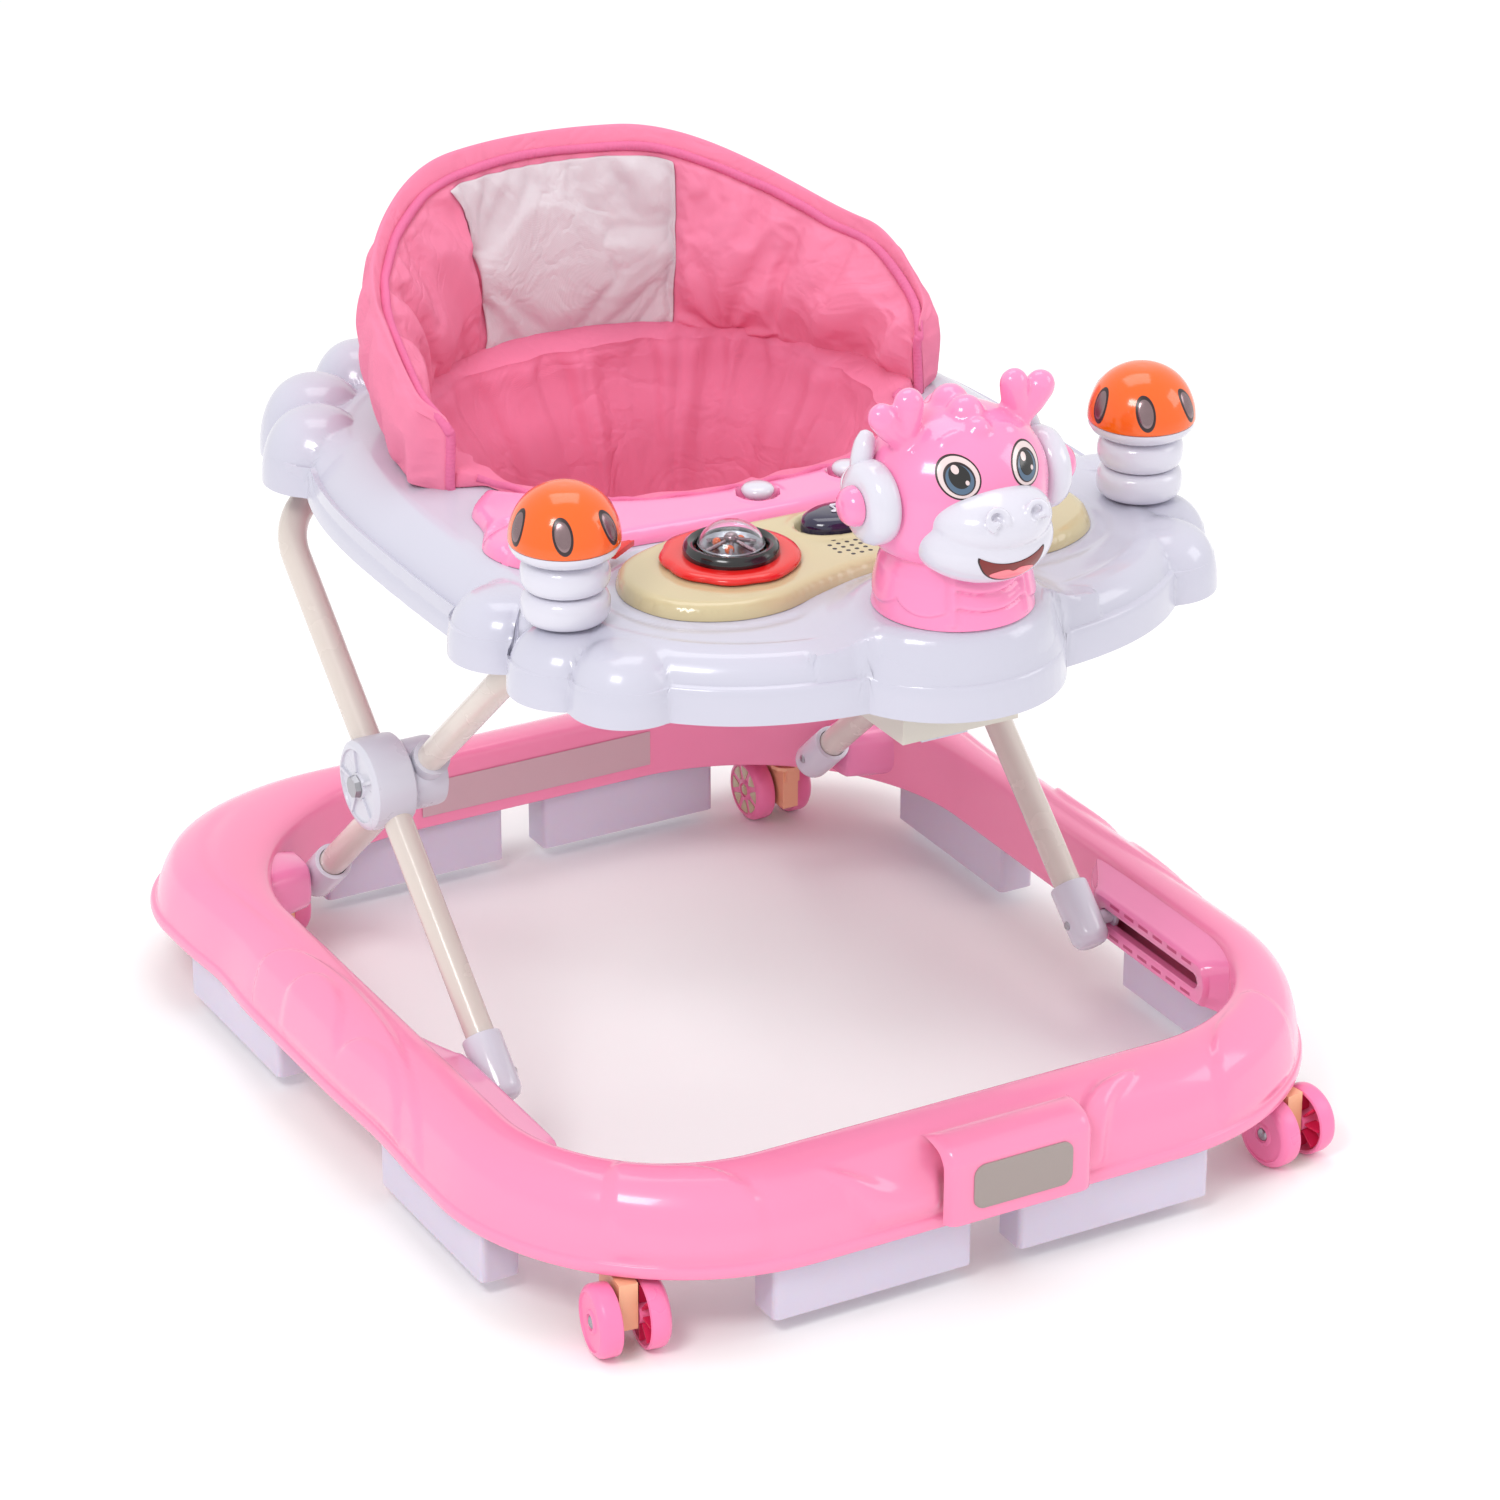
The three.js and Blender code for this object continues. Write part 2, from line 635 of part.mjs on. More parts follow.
// The dragon's arms: a band round the front of the seat hole, with a two-finger paw at each end.
function armBand() {
  const half = [[0, -87], [-60, -83], [-122, -78], [-165, -86], [-190, -76], [-198, -44], [-184, -14],
    [-178, 14], [-158, 36]];
  const edge = [];
  for (let i = 0; i <= 7; i += 1) {
    const angle = Math.PI * (1.13 + 0.37 * i / 7);
    const distance = reach(angle, insideSeatHole) + 5;
    edge.push([distance * Math.cos(angle), TRAY_CENTRE_Y + distance * Math.sin(angle)]);
  }
  const mirror = (points) => points.map(([x, y]) => [-x, y]).reverse();
  const outline = [...half, ...edge, ...mirror(edge).slice(1), ...mirror(half).slice(0, -1)];
  const band = plate(outline.map(([x, y]) => new THREE.Vector2(x, y)), TOY_Z, BAND_TOP_Z, 3);
  const well = () => bar(BAND_BUTTON.r + WELL_GAP, BAND_BUTTON.wellZ, BAND_TOP_Z + 5, 14);
  return cut(band, ...Object.values(BAND_BUTTONS).map(([x, y]) => well().translate(x, y, 0)));
}

add(model, 'arm_band', armBand(), PINK, 0.25);

function domedKey({ r, bottomZ, topZ }, segments) {
  return turned([[0, bottomZ], [r, bottomZ], [r, topZ - 5], [0.72 * r, topZ - 1.3], [0, topZ]], segments);
}

for (const [sideName] of SIDES) {
  const button = domedKey(BAND_BUTTON, 14);
  const mesh = add(model, `band_button_${sideName}`, button, WHITE, 0.25);
  mesh.position.set(...BAND_BUTTONS[sideName], 0);
}

const LAMP = { x: 82, y: -143, discR: 43 };

for (const [sideName, side] of SIDES) {
  const lamp = new THREE.Group();
  lamp.position.set(side * LAMP.x, LAMP.y, PANEL_TOP_Z + GAP);
  model.add(lamp);
  add(lamp, `lamp_disc_${sideName}`, turned([[20, 0], [LAMP.discR, 0], [LAMP.discR - 1, 3.5], [20, 3.5], [20, 0]],
    20), RED, 0.25);
  add(lamp, `lamp_bezel_${sideName}`, turned([[22, 3.8], [29, 3.8], [29.5, 7], [26, 10.5], [22, 9.5], [22, 3.8]],
    16), 0x141416, 0.3);
  const dome = turned([[0, 23], [9.4, 21.4], [16.8, 16], [19.9, 9], [19.9, 3.8], [21.5, 3.8], [21.5, 9],
    [18, 17], [10, 22.8], [0, 24.5]], 12);
  add(lamp, `lamp_dome_${sideName}`, dome, 0xdfe6ee, 0.05);
}

const musicKey = domedKey(MUSIC_KEY, 20).scale(MUSIC_KEY.stretch, 1, 1);
add(model, 'music_key', musicKey, 0x1d1b3c, 0.2).position.set(MUSIC_KEY.x, MUSIC_KEY.y, 0);

// ---- Mushroom toys: two rings and a cap turn on each post ----

function mushroomRing(z) {
  const { postR, ringR, ringH } = MUSHROOM;
  const hole = postR + 0.6;
  return turned([[hole, 0], [22, 0], [ringR - 1, 5], [ringR, ringH / 2], [ringR - 1, ringH - 5], [22, ringH],
    [hole, ringH], [hole, 0]], 12).translate(0, 0, z);
}

for (const [sideName, side] of SIDES) {
  const toy = new THREE.Group();
  toy.position.set(side * MUSHROOM.x, MUSHROOM.y, 0);
  model.add(toy);
  add(toy, `mushroom_ring_lower_${sideName}`, mushroomRing(415.6), WHITE, 0.3);
  add(toy, `mushroom_ring_upper_${sideName}`, mushroomRing(435.6), WHITE, 0.3);
  const rim = turned([[9.6, 455.6], [24, 455.6], [MUSHROOM.capR - 2, 461], [MUSHROOM.capR, 465.5], [9.6, 465.5],
    [9.6, 455.6]], 16);
  add(toy, `mushroom_rim_${sideName}`, rim, WHITE, 0.3);
  const cap = turned([[0, 472], [24, 470], [30, 465.8], [MUSHROOM.capR, 465.8], [33, 481], [25, 493],
    [13, 499.5], [0, 501.5]], 16);
  add(toy, `mushroom_cap_${sideName}`, cap, 0xf07a10, 0.25);
}

// ---- Dragon ----

const dragon = new THREE.Group();
dragon.position.set(0, DRAGON.y, 0);
model.add(dragon);

function neck() {
  const collar = [[0, 426.3], [DRAGON.neckR, 426.3], [49.5, 438], [46, 452], [44, 464], [42, 466]];
  return turned([...collar, [34, 463], [24, 457], [9, 453.5], [9, 470], [0, 470]], 18);
}

add(dragon, 'dragon_neck', neck(), PINK, 0.25);

const HEAD = { rx: 56, ry: 50, rz: 47, z: DRAGON.headZ };

function headBall(grow = 0) {
  return ball(HEAD.rx + grow, HEAD.ry + grow, HEAD.rz + grow, 0, 0, HEAD.z, 14, 9);
}

// Each horn is a stem with a heart-shaped tip.
function horn(side) {
  const stem = bar(6, 0, 26, 6).rotateY(side * rad(25)).translate(side * 26, -4, HEAD.z + 32);
  const tips = [[34, 55, 9.8], [52, 49, 9.8], [41, 44, 10]];
  return [stem, ...tips.map(([x, z, r]) => ball(r, 8, r, side * x, -4, HEAD.z + z, 7, 4))];
}

function dragonHead() {
  const crest = [[0, -34, 36, 11], [0, -17, 46, 12], [0, 0, 49, 11]];
  const lobes = crest.map(([x, y, z, r]) => ball(r, r, r, x, y, HEAD.z + z, 7, 4));
  const solid = join(headBall(), ...horn(-1), ...horn(1), ...lobes);
  return cut(solid, bar(9.6, 440, 471.5, 12), bar(60, 440, 456, 12));
}

add(dragon, 'dragon_head', dragonHead(), PINK, 0.22);

// The chin hangs in front of the neck, and clears it as the head turns.
const muzzle = cut(ball(43, 38, 29, 0, -40, 487, 14, 8), headBall(GAP), bar(52.5, 440, 467.5));
add(dragon, 'dragon_muzzle', muzzle, WHITE, 0.25);

const CUP = { y: 8, z: HEAD.z - 8, r: 26, near: 44, far: 66 };

// Two cups with a short arm above each, joined by a band behind the head.
function headphones() {
  const arch = new THREE.Shape().absarc(0, 0, 66, rad(-5), rad(185)).absarc(0, 0, 60, rad(185), rad(-5), true);
  const band = new THREE.ExtrudeGeometry(arch, { depth: 10, bevelEnabled: false, curveSegments: 8 });
  band.translate(0, CUP.y, CUP.z - 5);
  const cups = SIDES.map(([, side]) => crossBar(CUP.r, side, CUP.near, CUP.far, CUP.y, CUP.z, 14));
  const arms = SIDES.map(([, side]) => (
    bar(6.5, 0, 40, 8).rotateY(side * rad(-26)).translate(side * 60, CUP.y + 5, CUP.z + 12)));
  return cut(join(band, ...cups, ...arms), headBall(GAP));
}

add(dragon, 'dragon_headphones', headphones(), WHITE, 0.25);

for (const [sideName, side] of SIDES) {
  const knob = turned([[0, 0], [13, 0], [13, 5], [9, 13], [0, 15]], 12);
  const mesh = add(dragon, `ear_knob_${sideName}`, knob, PINK, 0.25);
  mesh.position.set(side * (CUP.far + GAP), CUP.y, CUP.z);
  mesh.rotation.y = side * Math.PI / 2;
}

// ---- Seat ----

// The sling hangs in the seat hole. Each pair is the outline's scale and height.
const SLING_OUTSIDE = [[0.3, 240], [0.5, 242], [0.62, 262], [0.74, 340], [0.79, 375], [0.96, 396], [0.965, 413]];
const SLING_WALL = 5;

function slingRing(scale, z, inset) {
  const { halfX, halfY, y, power } = SEAT_HOLE;
  const STEPS = 20;
  return Array.from({ length: STEPS }, (_, i) => {
    const angle = 2 * Math.PI * i / STEPS;
    const [c, s] = [Math.cos(angle), Math.sin(angle)];
    const part = (value, half) => Math.sign(value) * Math.abs(value) ** (2 / power) * (half * scale - inset);
    return vec(part(c, halfX), y + part(s, halfY), z);
  });
}

function sling() {
  const outside = SLING_OUTSIDE.map(([scale, z]) => slingRing(scale, z, 0));
  const inside = SLING_OUTSIDE.map(([scale, z], i) => {
    const rise = i < 3 ? SLING_WALL : 0;
    return slingRing(scale, z + rise, SLING_WALL);
  });
  const shell = skin([...outside, ...inside.reverse()], true);
  const legHoles = SIDES.map(([, side]) => bar(31, 200, 290, 14).translate(side * 42, 74, 0));
  return cut(shell, ...legHoles);
}

add(model, 'seat_sling', sling(), 0xef6f9e, 0.8);

// The padded wall round the seat's back: highest behind the child, and falling steeply at each end.
function backHeight(angle) {
  const turn = Math.abs(angle);
  const shoulder = THREE.MathUtils.smoothstep(turn, 20, 80);
  const end = THREE.MathUtils.smoothstep(turn, 78, SEAT.halfAngle + 12);
  return 556 - 46 * shoulder - 62 * end;
}

function backSection(angle) {
  const top = backHeight(angle);
  const middle = (DECK_Z + top) / 2;
  const profile = [
    [SEAT.innerR, TOY_Z], [SEAT.outerR, TOY_Z], [SEAT.outerR + 8, middle], [SEAT.flareR, top - 10],
    [SEAT.flareR - 8, top], [SEAT.flareR - 20, top - 4], [SEAT.innerR + 4, middle],
  ];
  const [c, s] = [Math.cos(rad(angle)), Math.sin(rad(angle))];
  return profile.map(([r, z]) => vec(r * s, SEAT.y + r * c, z));
}

function seatBack() {
  const STEPS = 20;
  const sections = Array.from({ length: STEPS + 1 }, (_, i) => (
    backSection(SEAT.halfAngle * (2 * i / STEPS - 1))));
  return skin(sections, true);
}

add(model, 'seat_back', seatBack(), 0xf57fae, 0.8);

export default model;
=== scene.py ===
"""Folding baby walker: the looks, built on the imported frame.

Lengths are in millimetres and angles in degrees, unless a comment says otherwise.
"""

import math

import bmesh
import bpy
import numpy as np
from mathutils import Matrix, Vector, geometry
from mathutils.bvhtree import BVHTree


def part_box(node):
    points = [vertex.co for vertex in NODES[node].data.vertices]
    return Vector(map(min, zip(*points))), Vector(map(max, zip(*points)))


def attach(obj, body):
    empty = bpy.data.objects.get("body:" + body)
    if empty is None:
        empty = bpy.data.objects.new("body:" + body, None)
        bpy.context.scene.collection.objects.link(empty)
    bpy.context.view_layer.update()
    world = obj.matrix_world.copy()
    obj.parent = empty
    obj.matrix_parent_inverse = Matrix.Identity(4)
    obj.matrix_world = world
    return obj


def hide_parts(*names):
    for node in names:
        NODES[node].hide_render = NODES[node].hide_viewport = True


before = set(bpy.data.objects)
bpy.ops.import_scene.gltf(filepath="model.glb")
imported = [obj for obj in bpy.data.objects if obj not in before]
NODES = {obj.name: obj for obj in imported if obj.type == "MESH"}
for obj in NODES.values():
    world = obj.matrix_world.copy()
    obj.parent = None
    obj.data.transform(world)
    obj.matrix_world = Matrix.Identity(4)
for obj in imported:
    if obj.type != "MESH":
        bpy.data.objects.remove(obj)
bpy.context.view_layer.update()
MM = 0.001
TAU = 2 * math.pi
SIDES = (("left", -1), ("right", 1))


# ---------------------------------------------------------------- numbers

def smooth(low, high, x):
    """0 at low and 1 at high, with an eased step between; low may be the larger."""
    t = np.clip((np.asarray(x, float) - low) / (high - low), 0, 1)
    return t * t * (3 - 2 * t)


def bump(x, centre, width):
    """A bell of height 1 at the centre."""
    return np.exp(-((np.asarray(x, float) - centre) / width) ** 2)


def spline(points, count, closed=False):
    """Catmull-Rom through the points, with count samples."""
    pts = np.asarray(points, float)
    n = len(pts)
    spans = n if closed else n - 1
    t = np.linspace(0, spans, count, endpoint=not closed)
    i = np.minimum(t.astype(int), spans - 1)
    f = (t - i)[:, None]
    if closed:
        a, b, c, d = (pts[(i + k) % n] for k in (-1, 0, 1, 2))
    else:
        a, b, c, d = (pts[np.clip(i + k, 0, n - 1)] for k in (-1, 0, 1, 2))
    square, cube = 2 * a - 5 * b + 4 * c - d, 3 * b - a - 3 * c + d
    return 0.5 * (2 * b + (c - a) * f + square * f ** 2 + cube * f ** 3)


def resample(points, step, closed=True):
    """Points spaced evenly along a polyline."""
    pts = np.asarray(points, float)
    if closed:
        pts = np.vstack([pts, pts[:1]])
    length = np.r_[0, np.cumsum(np.linalg.norm(np.diff(pts, axis=0), axis=1))]
    count = max(8, int(round(length[-1] / step)))
    at = np.linspace(0, length[-1], count, endpoint=not closed)
    return np.stack([np.interp(at, length, pts[:, k]) for k in range(pts.shape[1])], axis=1)


def edge_distance(px, py, outline):
    """Distance from points to a closed outline's edges."""
    a = np.asarray(outline, float)
    b = np.roll(a, -1, axis=0)
    best = np.full(np.shape(px), 1e9)
    for (ax, ay), (bx, by) in zip(a, b):
        dx, dy = bx - ax, by - ay
        t = np.clip(((px - ax) * dx + (py - ay) * dy) / (dx * dx + dy * dy + 1e-12), 0, 1)
        best = np.minimum(best, np.hypot(px - ax - t * dx, py - ay - t * dy))
    return best


def inside(px, py, outline):
    """Whether points are inside a closed outline."""
    a = np.asarray(outline, float)
    b = np.roll(a, -1, axis=0)
    hits = np.zeros(np.shape(px), bool)
    for (ax, ay), (bx, by) in zip(a, b):
        crosses = (ay > py) != (by > py)
        if by != ay:
            hits ^= crosses & (px < (bx - ax) * (py - ay) / (by - ay) + ax)
    return hits


def superellipse(half_x, front, rear, power, centre=0.0, count=240):
    """A closed outline between an oval (power 2) and a box, with its own half lengths to -Y and +Y."""
    a = np.arange(count) * TAU / count
    c, s = np.cos(a), np.sin(a)
    half_y = np.where(s < 0, front, rear)
    return np.c_[np.sign(c) * np.abs(c) ** (2 / power) * half_x,
                 centre + np.sign(s) * np.abs(s) ** (2 / power) * half_y]


# ---------------------------------------------------------------- meshes

WELD_METRES = 2e-6


def new_object(name, verts, faces, weld=True):
    """A mesh object from points in millimetres, not yet in the scene. Welding joins its doubled points."""
    mesh = bpy.data.meshes.new(name)
    mesh.from_pydata((np.asarray(verts, float) * MM).tolist(), [], [list(map(int, f)) for f in faces])
    if weld:
        work = bmesh.new()
        work.from_mesh(mesh)
        bmesh.ops.remove_doubles(work, verts=work.verts, dist=WELD_METRES)
        bmesh.ops.recalc_face_normals(work, faces=work.faces)
        work.to_mesh(mesh)
        work.free()
    return bpy.data.objects.new(name, mesh)


def piece(name, verts, faces, material, body, replaces=(), slot=None, sharp=40, weld=True):
    """A smooth-shaded object in the scene. An empty body leaves it to be finished and dressed later."""
    return dress(new_object(name, verts, faces, weld), material, body, replaces, slot, sharp)


def dress(obj, material, body, replaces=(), slot=None, sharp=40):
    """Gives an object its material, edges sharper than an angle, body and replaced nodes. The slot is not
    used.
    """
    if obj.name not in bpy.context.scene.collection.objects:
        bpy.context.scene.collection.objects.link(obj)
    obj.data.materials.clear()
    obj.data.materials.append(material)
    obj.data.shade_smooth()
    obj.data.set_sharp_from_angle(angle=math.radians(sharp))
    if body:
        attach(obj, body)
    if replaces:
        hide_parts(*replaces)
    return obj


def grid_faces(rows, columns, close_rows=False, close_columns=True):
    """Four-sided faces between the points of a grid that may close on itself either way."""
    faces = []
    for r in range(rows if close_rows else rows - 1):
        for c in range(columns if close_columns else columns - 1):
            r2, c2 = (r + 1) % rows, (c + 1) % columns
            faces.append((r * columns + c, r * columns + c2, r2 * columns + c2, r2 * columns + c))
    return faces


def loft(rows, close_rows=False, cap=False):
    """Closed rings of points joined into a skin: (points, faces)."""
    rows = np.asarray(rows, float)
    count, width = rows.shape[:2]
    faces = grid_faces(count, width, close_rows)
    if cap:
        faces.append(tuple(range(width)))
        faces.append(tuple(range((count - 1) * width, count * width)))
    return rows.reshape(-1, 3), faces


def placed(part, turn=None, at=(0, 0, 0)):
    """A (points, faces) part turned by a matrix and then moved."""
    verts, faces = part
    if turn is not None:
        verts = verts @ np.asarray(turn, float).T
    return verts + np.asarray(at, float), faces


def about(axis, angle):
    """The matrix of a turn about an axis by an angle in radians."""
    return Matrix.Rotation(angle, 3, axis)


def sideways(side):
    """The matrix that lays +Z along X, outwards on the given side."""
    return about("Y", side * math.pi / 2)


def lathe(profile, segments=48, turn=None, at=(0, 0, 0)):
    """A profile of (radius, height) turned about +Z, then turned by a matrix and moved."""
    angle = np.arange(segments) * TAU / segments
    circle = np.c_[np.cos(angle), np.sin(angle)]
    rows = [np.c_[r * circle, np.full(segments, float(h))] for r, h in profile]
    return placed(loft(rows), turn, at)


def merge(*parts):
    """Several (points, faces) as one."""
    verts, faces, offset = [], [], 0
    for v, f in parts:
        verts.append(np.asarray(v, float))
        faces += [tuple(i + offset for i in face) for face in f]
        offset += len(v)
    return np.vstack(verts), faces


def ball(centre, radii, across=32, down=20, turn=None):
    """A sphere stretched to three radii, turned and then moved to its centre."""
    t = np.linspace(0, math.pi, down)
    verts, faces = lathe(np.c_[np.sin(t), -np.cos(t)], across)
    return placed((verts * np.asarray(radii, float), faces), turn, centre)


def sweep(path, radius, sides=20, cap=True):
    """A round tube along a path. radius is a number or one number per point."""
    path = np.asarray(path, float)
    radius = np.broadcast_to(np.asarray(radius, float), (len(path),))
    tangent = np.gradient(path, axis=0)
    tangent /= np.linalg.norm(tangent, axis=1)[:, None]
    normal = np.cross(tangent[0], [0.0, 0.0, 1.0])
    if np.linalg.norm(normal) < 0.1:
        normal = np.cross(tangent[0], [0.0, 1.0, 0.0])
    rows = []
    angle = np.arange(sides) * TAU / sides
    for p, t, r in zip(path, tangent, radius):
        normal = normal - t * normal.dot(t)
        normal /= np.linalg.norm(normal)
        other = np.cross(t, normal)
        rows.append(p + r * (np.cos(angle)[:, None] * normal + np.sin(angle)[:, None] * other))
    return loft(rows, cap=cap)


def slab(outline, bottom, top, cell=2.0, rim=0.6):
    """A plate of any outline: top is a function of x, y and the distance in from the edge."""
    edge = resample(outline, cell)
    low, high = edge.min(0), edge.max(0)
    xs = np.arange(low[0] + cell / 2, high[0], cell)
    ys = np.arange(low[1] + cell / 2, high[1], cell)
    gx, gy = np.meshgrid(xs, ys)
    gx = gx + (np.arange(len(ys)) % 2)[:, None] * cell / 2
    gx, gy = gx.ravel(), gy.ravel()
    depth = edge_distance(gx, gy, edge)
    keep = inside(gx, gy, edge) & (depth > rim * cell)
    flat = np.vstack([edge, np.stack([gx[keep], gy[keep]], 1)])
    depth = np.r_[np.zeros(len(edge)), depth[keep]]
    border = [(i, (i + 1) % len(edge)) for i in range(len(edge))]
    out = geometry.delaunay_2d_cdt([Vector(p) for p in flat], border, [], 1, 1e-6)
    points = np.array([tuple(p) for p in out[0]])
    sources = out[3]
    depth = np.array([depth[s[0]] if s else 0.0 for s in sources])
    verts = np.c_[points, top(points[:, 0], points[:, 1], depth)]
    faces = [tuple(f) for f in out[2]]
    base = len(verts)
    order = {s[0]: i for i, s in enumerate(sources) if s}
    ring = [order[i] for i in range(len(edge))]
    verts = np.vstack([verts, np.c_[edge, np.full(len(edge), float(bottom))]])
    count = len(edge)
    for i in range(count):
        j = (i + 1) % count
        faces.append((ring[i], ring[j], base + j, base + i))
    faces.append(tuple(base + i for i in range(count)))
    return verts, faces


def rounded(depth, width, power=2.4):
    """0 at the edge and 1 from width inwards, with a rounded shoulder."""
    q = np.clip(depth / width, 0, 1)
    return (1 - (1 - q) ** power) ** (1 / power)


def box_part(x0, x1, y0, y1, z0, z1):
    """A plain block between two corners."""
    verts = [(x, y, z) for x in (x0, x1) for y in (y0, y1) for z in (z0, z1)]
    faces = [(0, 1, 3, 2), (4, 6, 7, 5), (0, 4, 5, 1), (2, 3, 7, 6), (0, 2, 6, 4), (1, 5, 7, 3)]
    return np.array(verts, float), faces


def bevelled(obj, width, segments=2):
    """Rounds off an object's sharp edges."""
    mod = obj.modifiers.new("edge", "BEVEL")
    mod.width = width * MM
    mod.segments = segments
    mod.limit_method = "ANGLE"
    mod.angle_limit = math.radians(30)
    mod.harden_normals = False


def subdivided(obj):
    """Leaves one level of subdivision on a cloth piece."""
    soft = obj.modifiers.new("smooth_cloth", "SUBSURF")
    soft.levels = soft.render_levels = 1


def thickened(obj, depth, offset):
    """Gives a sheet its thickness: offset -1 is behind it and 0 is on both sides."""
    solid = obj.modifiers.new("thickness", "SOLIDIFY")
    solid.thickness = depth * MM
    solid.offset = offset
    return applied(obj)


def remeshed(parts, voxel, name, smoothing):
    """Overlapping closed shapes fused into one skin on a grid of voxels, and smoothed some times over."""
    obj = new_object(name, *merge(*parts))
    bpy.context.scene.collection.objects.link(obj)
    fuse = obj.modifiers.new("fuse", "REMESH")
    fuse.mode = "VOXEL"
    fuse.voxel_size = voxel * MM
    soft = obj.modifiers.new("soften", "SMOOTH")
    soft.iterations = smoothing
    soft.factor = 0.5
    return applied(obj)


def applied(obj):
    """Replaces an object's mesh with what its modifiers make of it."""
    bpy.context.view_layer.update()
    graph = bpy.context.evaluated_depsgraph_get()
    mesh = bpy.data.meshes.new_from_object(obj.evaluated_get(graph))
    obj.modifiers.clear()
    obj.data = mesh
    return obj


def points_of(mesh):
    """A mesh's points in millimetres."""
    flat = np.zeros(len(mesh.vertices) * 3, np.float32)
    mesh.vertices.foreach_get("co", flat)
    return flat.reshape(-1, 3).astype(float) / MM


def set_points(mesh, points):
    """Moves a mesh's points to places in millimetres."""
    mesh.vertices.foreach_set("co", (np.asarray(points, float) * MM).astype(np.float32).ravel())
    mesh.update()


# ---------------------------------------------------------------- materials

def rgb(red, green, blue):
    """Linear colour from 0 to 255 display values."""
    def channel(v):
        v /= 255
        return v / 12.92 if v <= 0.04045 else ((v + 0.055) / 1.055) ** 2.4
    return (channel(red), channel(green), channel(blue), 1.0)


class Look:
    """A node material round one Principled shader, in object coordinates."""

    def __init__(self, name, **values):
        self.material = bpy.data.materials.new(name)
        self.material.use_nodes = True
        self.tree = self.material.node_tree
        self.shader = self.tree.nodes["Principled BSDF"]
        for key, value in values.items():
            self.shader.inputs[key.replace("_", " ")].default_value = value
        self.coords = self.node("ShaderNodeTexCoord").outputs["Object"]

    def node(self, kind, **settings):
        made = self.tree.nodes.new(kind)
        for key, value in settings.items():
            setattr(made, key, value)
        return made

    def link(self, source, target):
        self.tree.links.new(source, target)

    def noise(self, scale, detail=2.0, rough=0.5, distortion=0.0):
        made = self.node("ShaderNodeTexNoise")
        self.link(self.coords, made.inputs["Vector"])
        made.inputs["Scale"].default_value = scale
        made.inputs["Detail"].default_value = detail
        made.inputs["Roughness"].default_value = rough
        made.inputs["Distortion"].default_value = distortion
        return made.outputs["Fac"]

    def wave(self, scale, direction, distortion=0.0):
        made = self.node("ShaderNodeTexWave", bands_direction=direction)
        self.link(self.coords, made.inputs["Vector"])
        made.inputs["Scale"].default_value = scale
        made.inputs["Distortion"].default_value = distortion
        made.inputs["Detail Scale"].default_value = 2.0
        return made.outputs["Fac"]

    def math(self, operation, a, b):
        made = self.node("ShaderNodeMath", operation=operation)
        for slot, value in zip(made.inputs, (a, b)):
            if isinstance(value, (int, float)):
                slot.default_value = value
            else:
                self.link(value, slot)
        return made.outputs[0]

    def remap(self, value, low, high, to_low, to_high):
        made = self.node("ShaderNodeMapRange")
        self.link(value, made.inputs["Value"])
        for key, number in (("From Min", low), ("From Max", high), ("To Min", to_low), ("To Max", to_high)):
            made.inputs[key].default_value = number
        return made.outputs["Result"]

    def blend(self, factor, a, b):
        made = self.node("ShaderNodeMix", data_type="RGBA")
        self.link(factor, made.inputs["Factor"])
        for slot, value in ((made.inputs["A"], a), (made.inputs["B"], b)):
            if isinstance(value, tuple):
                slot.default_value = value
            else:
                self.link(value, slot)
        return made.outputs["Result"]

    def colour(self, value):
        self.link(value, self.shader.inputs["Base Color"])

    def roughness(self, value):
        self.link(value, self.shader.inputs["Roughness"])

    def bump(self, height, strength, distance=0.001):
        made = self.node("ShaderNodeBump")
        made.inputs["Strength"].default_value = strength
        made.inputs["Distance"].default_value = distance
        self.link(height, made.inputs["Height"])
        self.link(made.outputs["Normal"], self.shader.inputs["Normal"])


def shade(colour, factor):
    """A colour made darker or paler."""
    return tuple(c * factor for c in colour[:3]) + (1.0,)


def plastic(name, colour, rough=0.22, variation=0.06, coat=0.25, grain=0.03, **more):
    """Moulded plastic: faint flow marks, uneven gloss and a very fine orange-peel."""
    look = Look(name, Coat_Weight=coat, Coat_Roughness=0.08, **more)
    flow = look.noise(5.0, 2.0, 0.5)
    look.colour(look.blend(look.remap(flow, 0.3, 0.7, 0.0, 1.0), shade(colour, 1 - variation), colour))
    look.roughness(look.remap(look.noise(38.0, 4.0), 0.3, 0.7, rough * 0.8, rough * 1.25))
    look.bump(look.noise(420.0, 2.0), grain, 0.0004)
    return look.material


def metal(name, colour, rough):
    """Bare metal with faint brushing."""
    look = Look(name, Metallic=1.0)
    brushed = look.noise(160.0, 5.0, 0.7)
    look.colour(look.blend(brushed, shade(colour, 0.85), colour))
    look.roughness(look.remap(brushed, 0.3, 0.7, rough * 0.8, rough * 1.3))
    look.bump(brushed, 0.05, 0.0003)
    return look.material


THREAD_SCALE = 1100.0


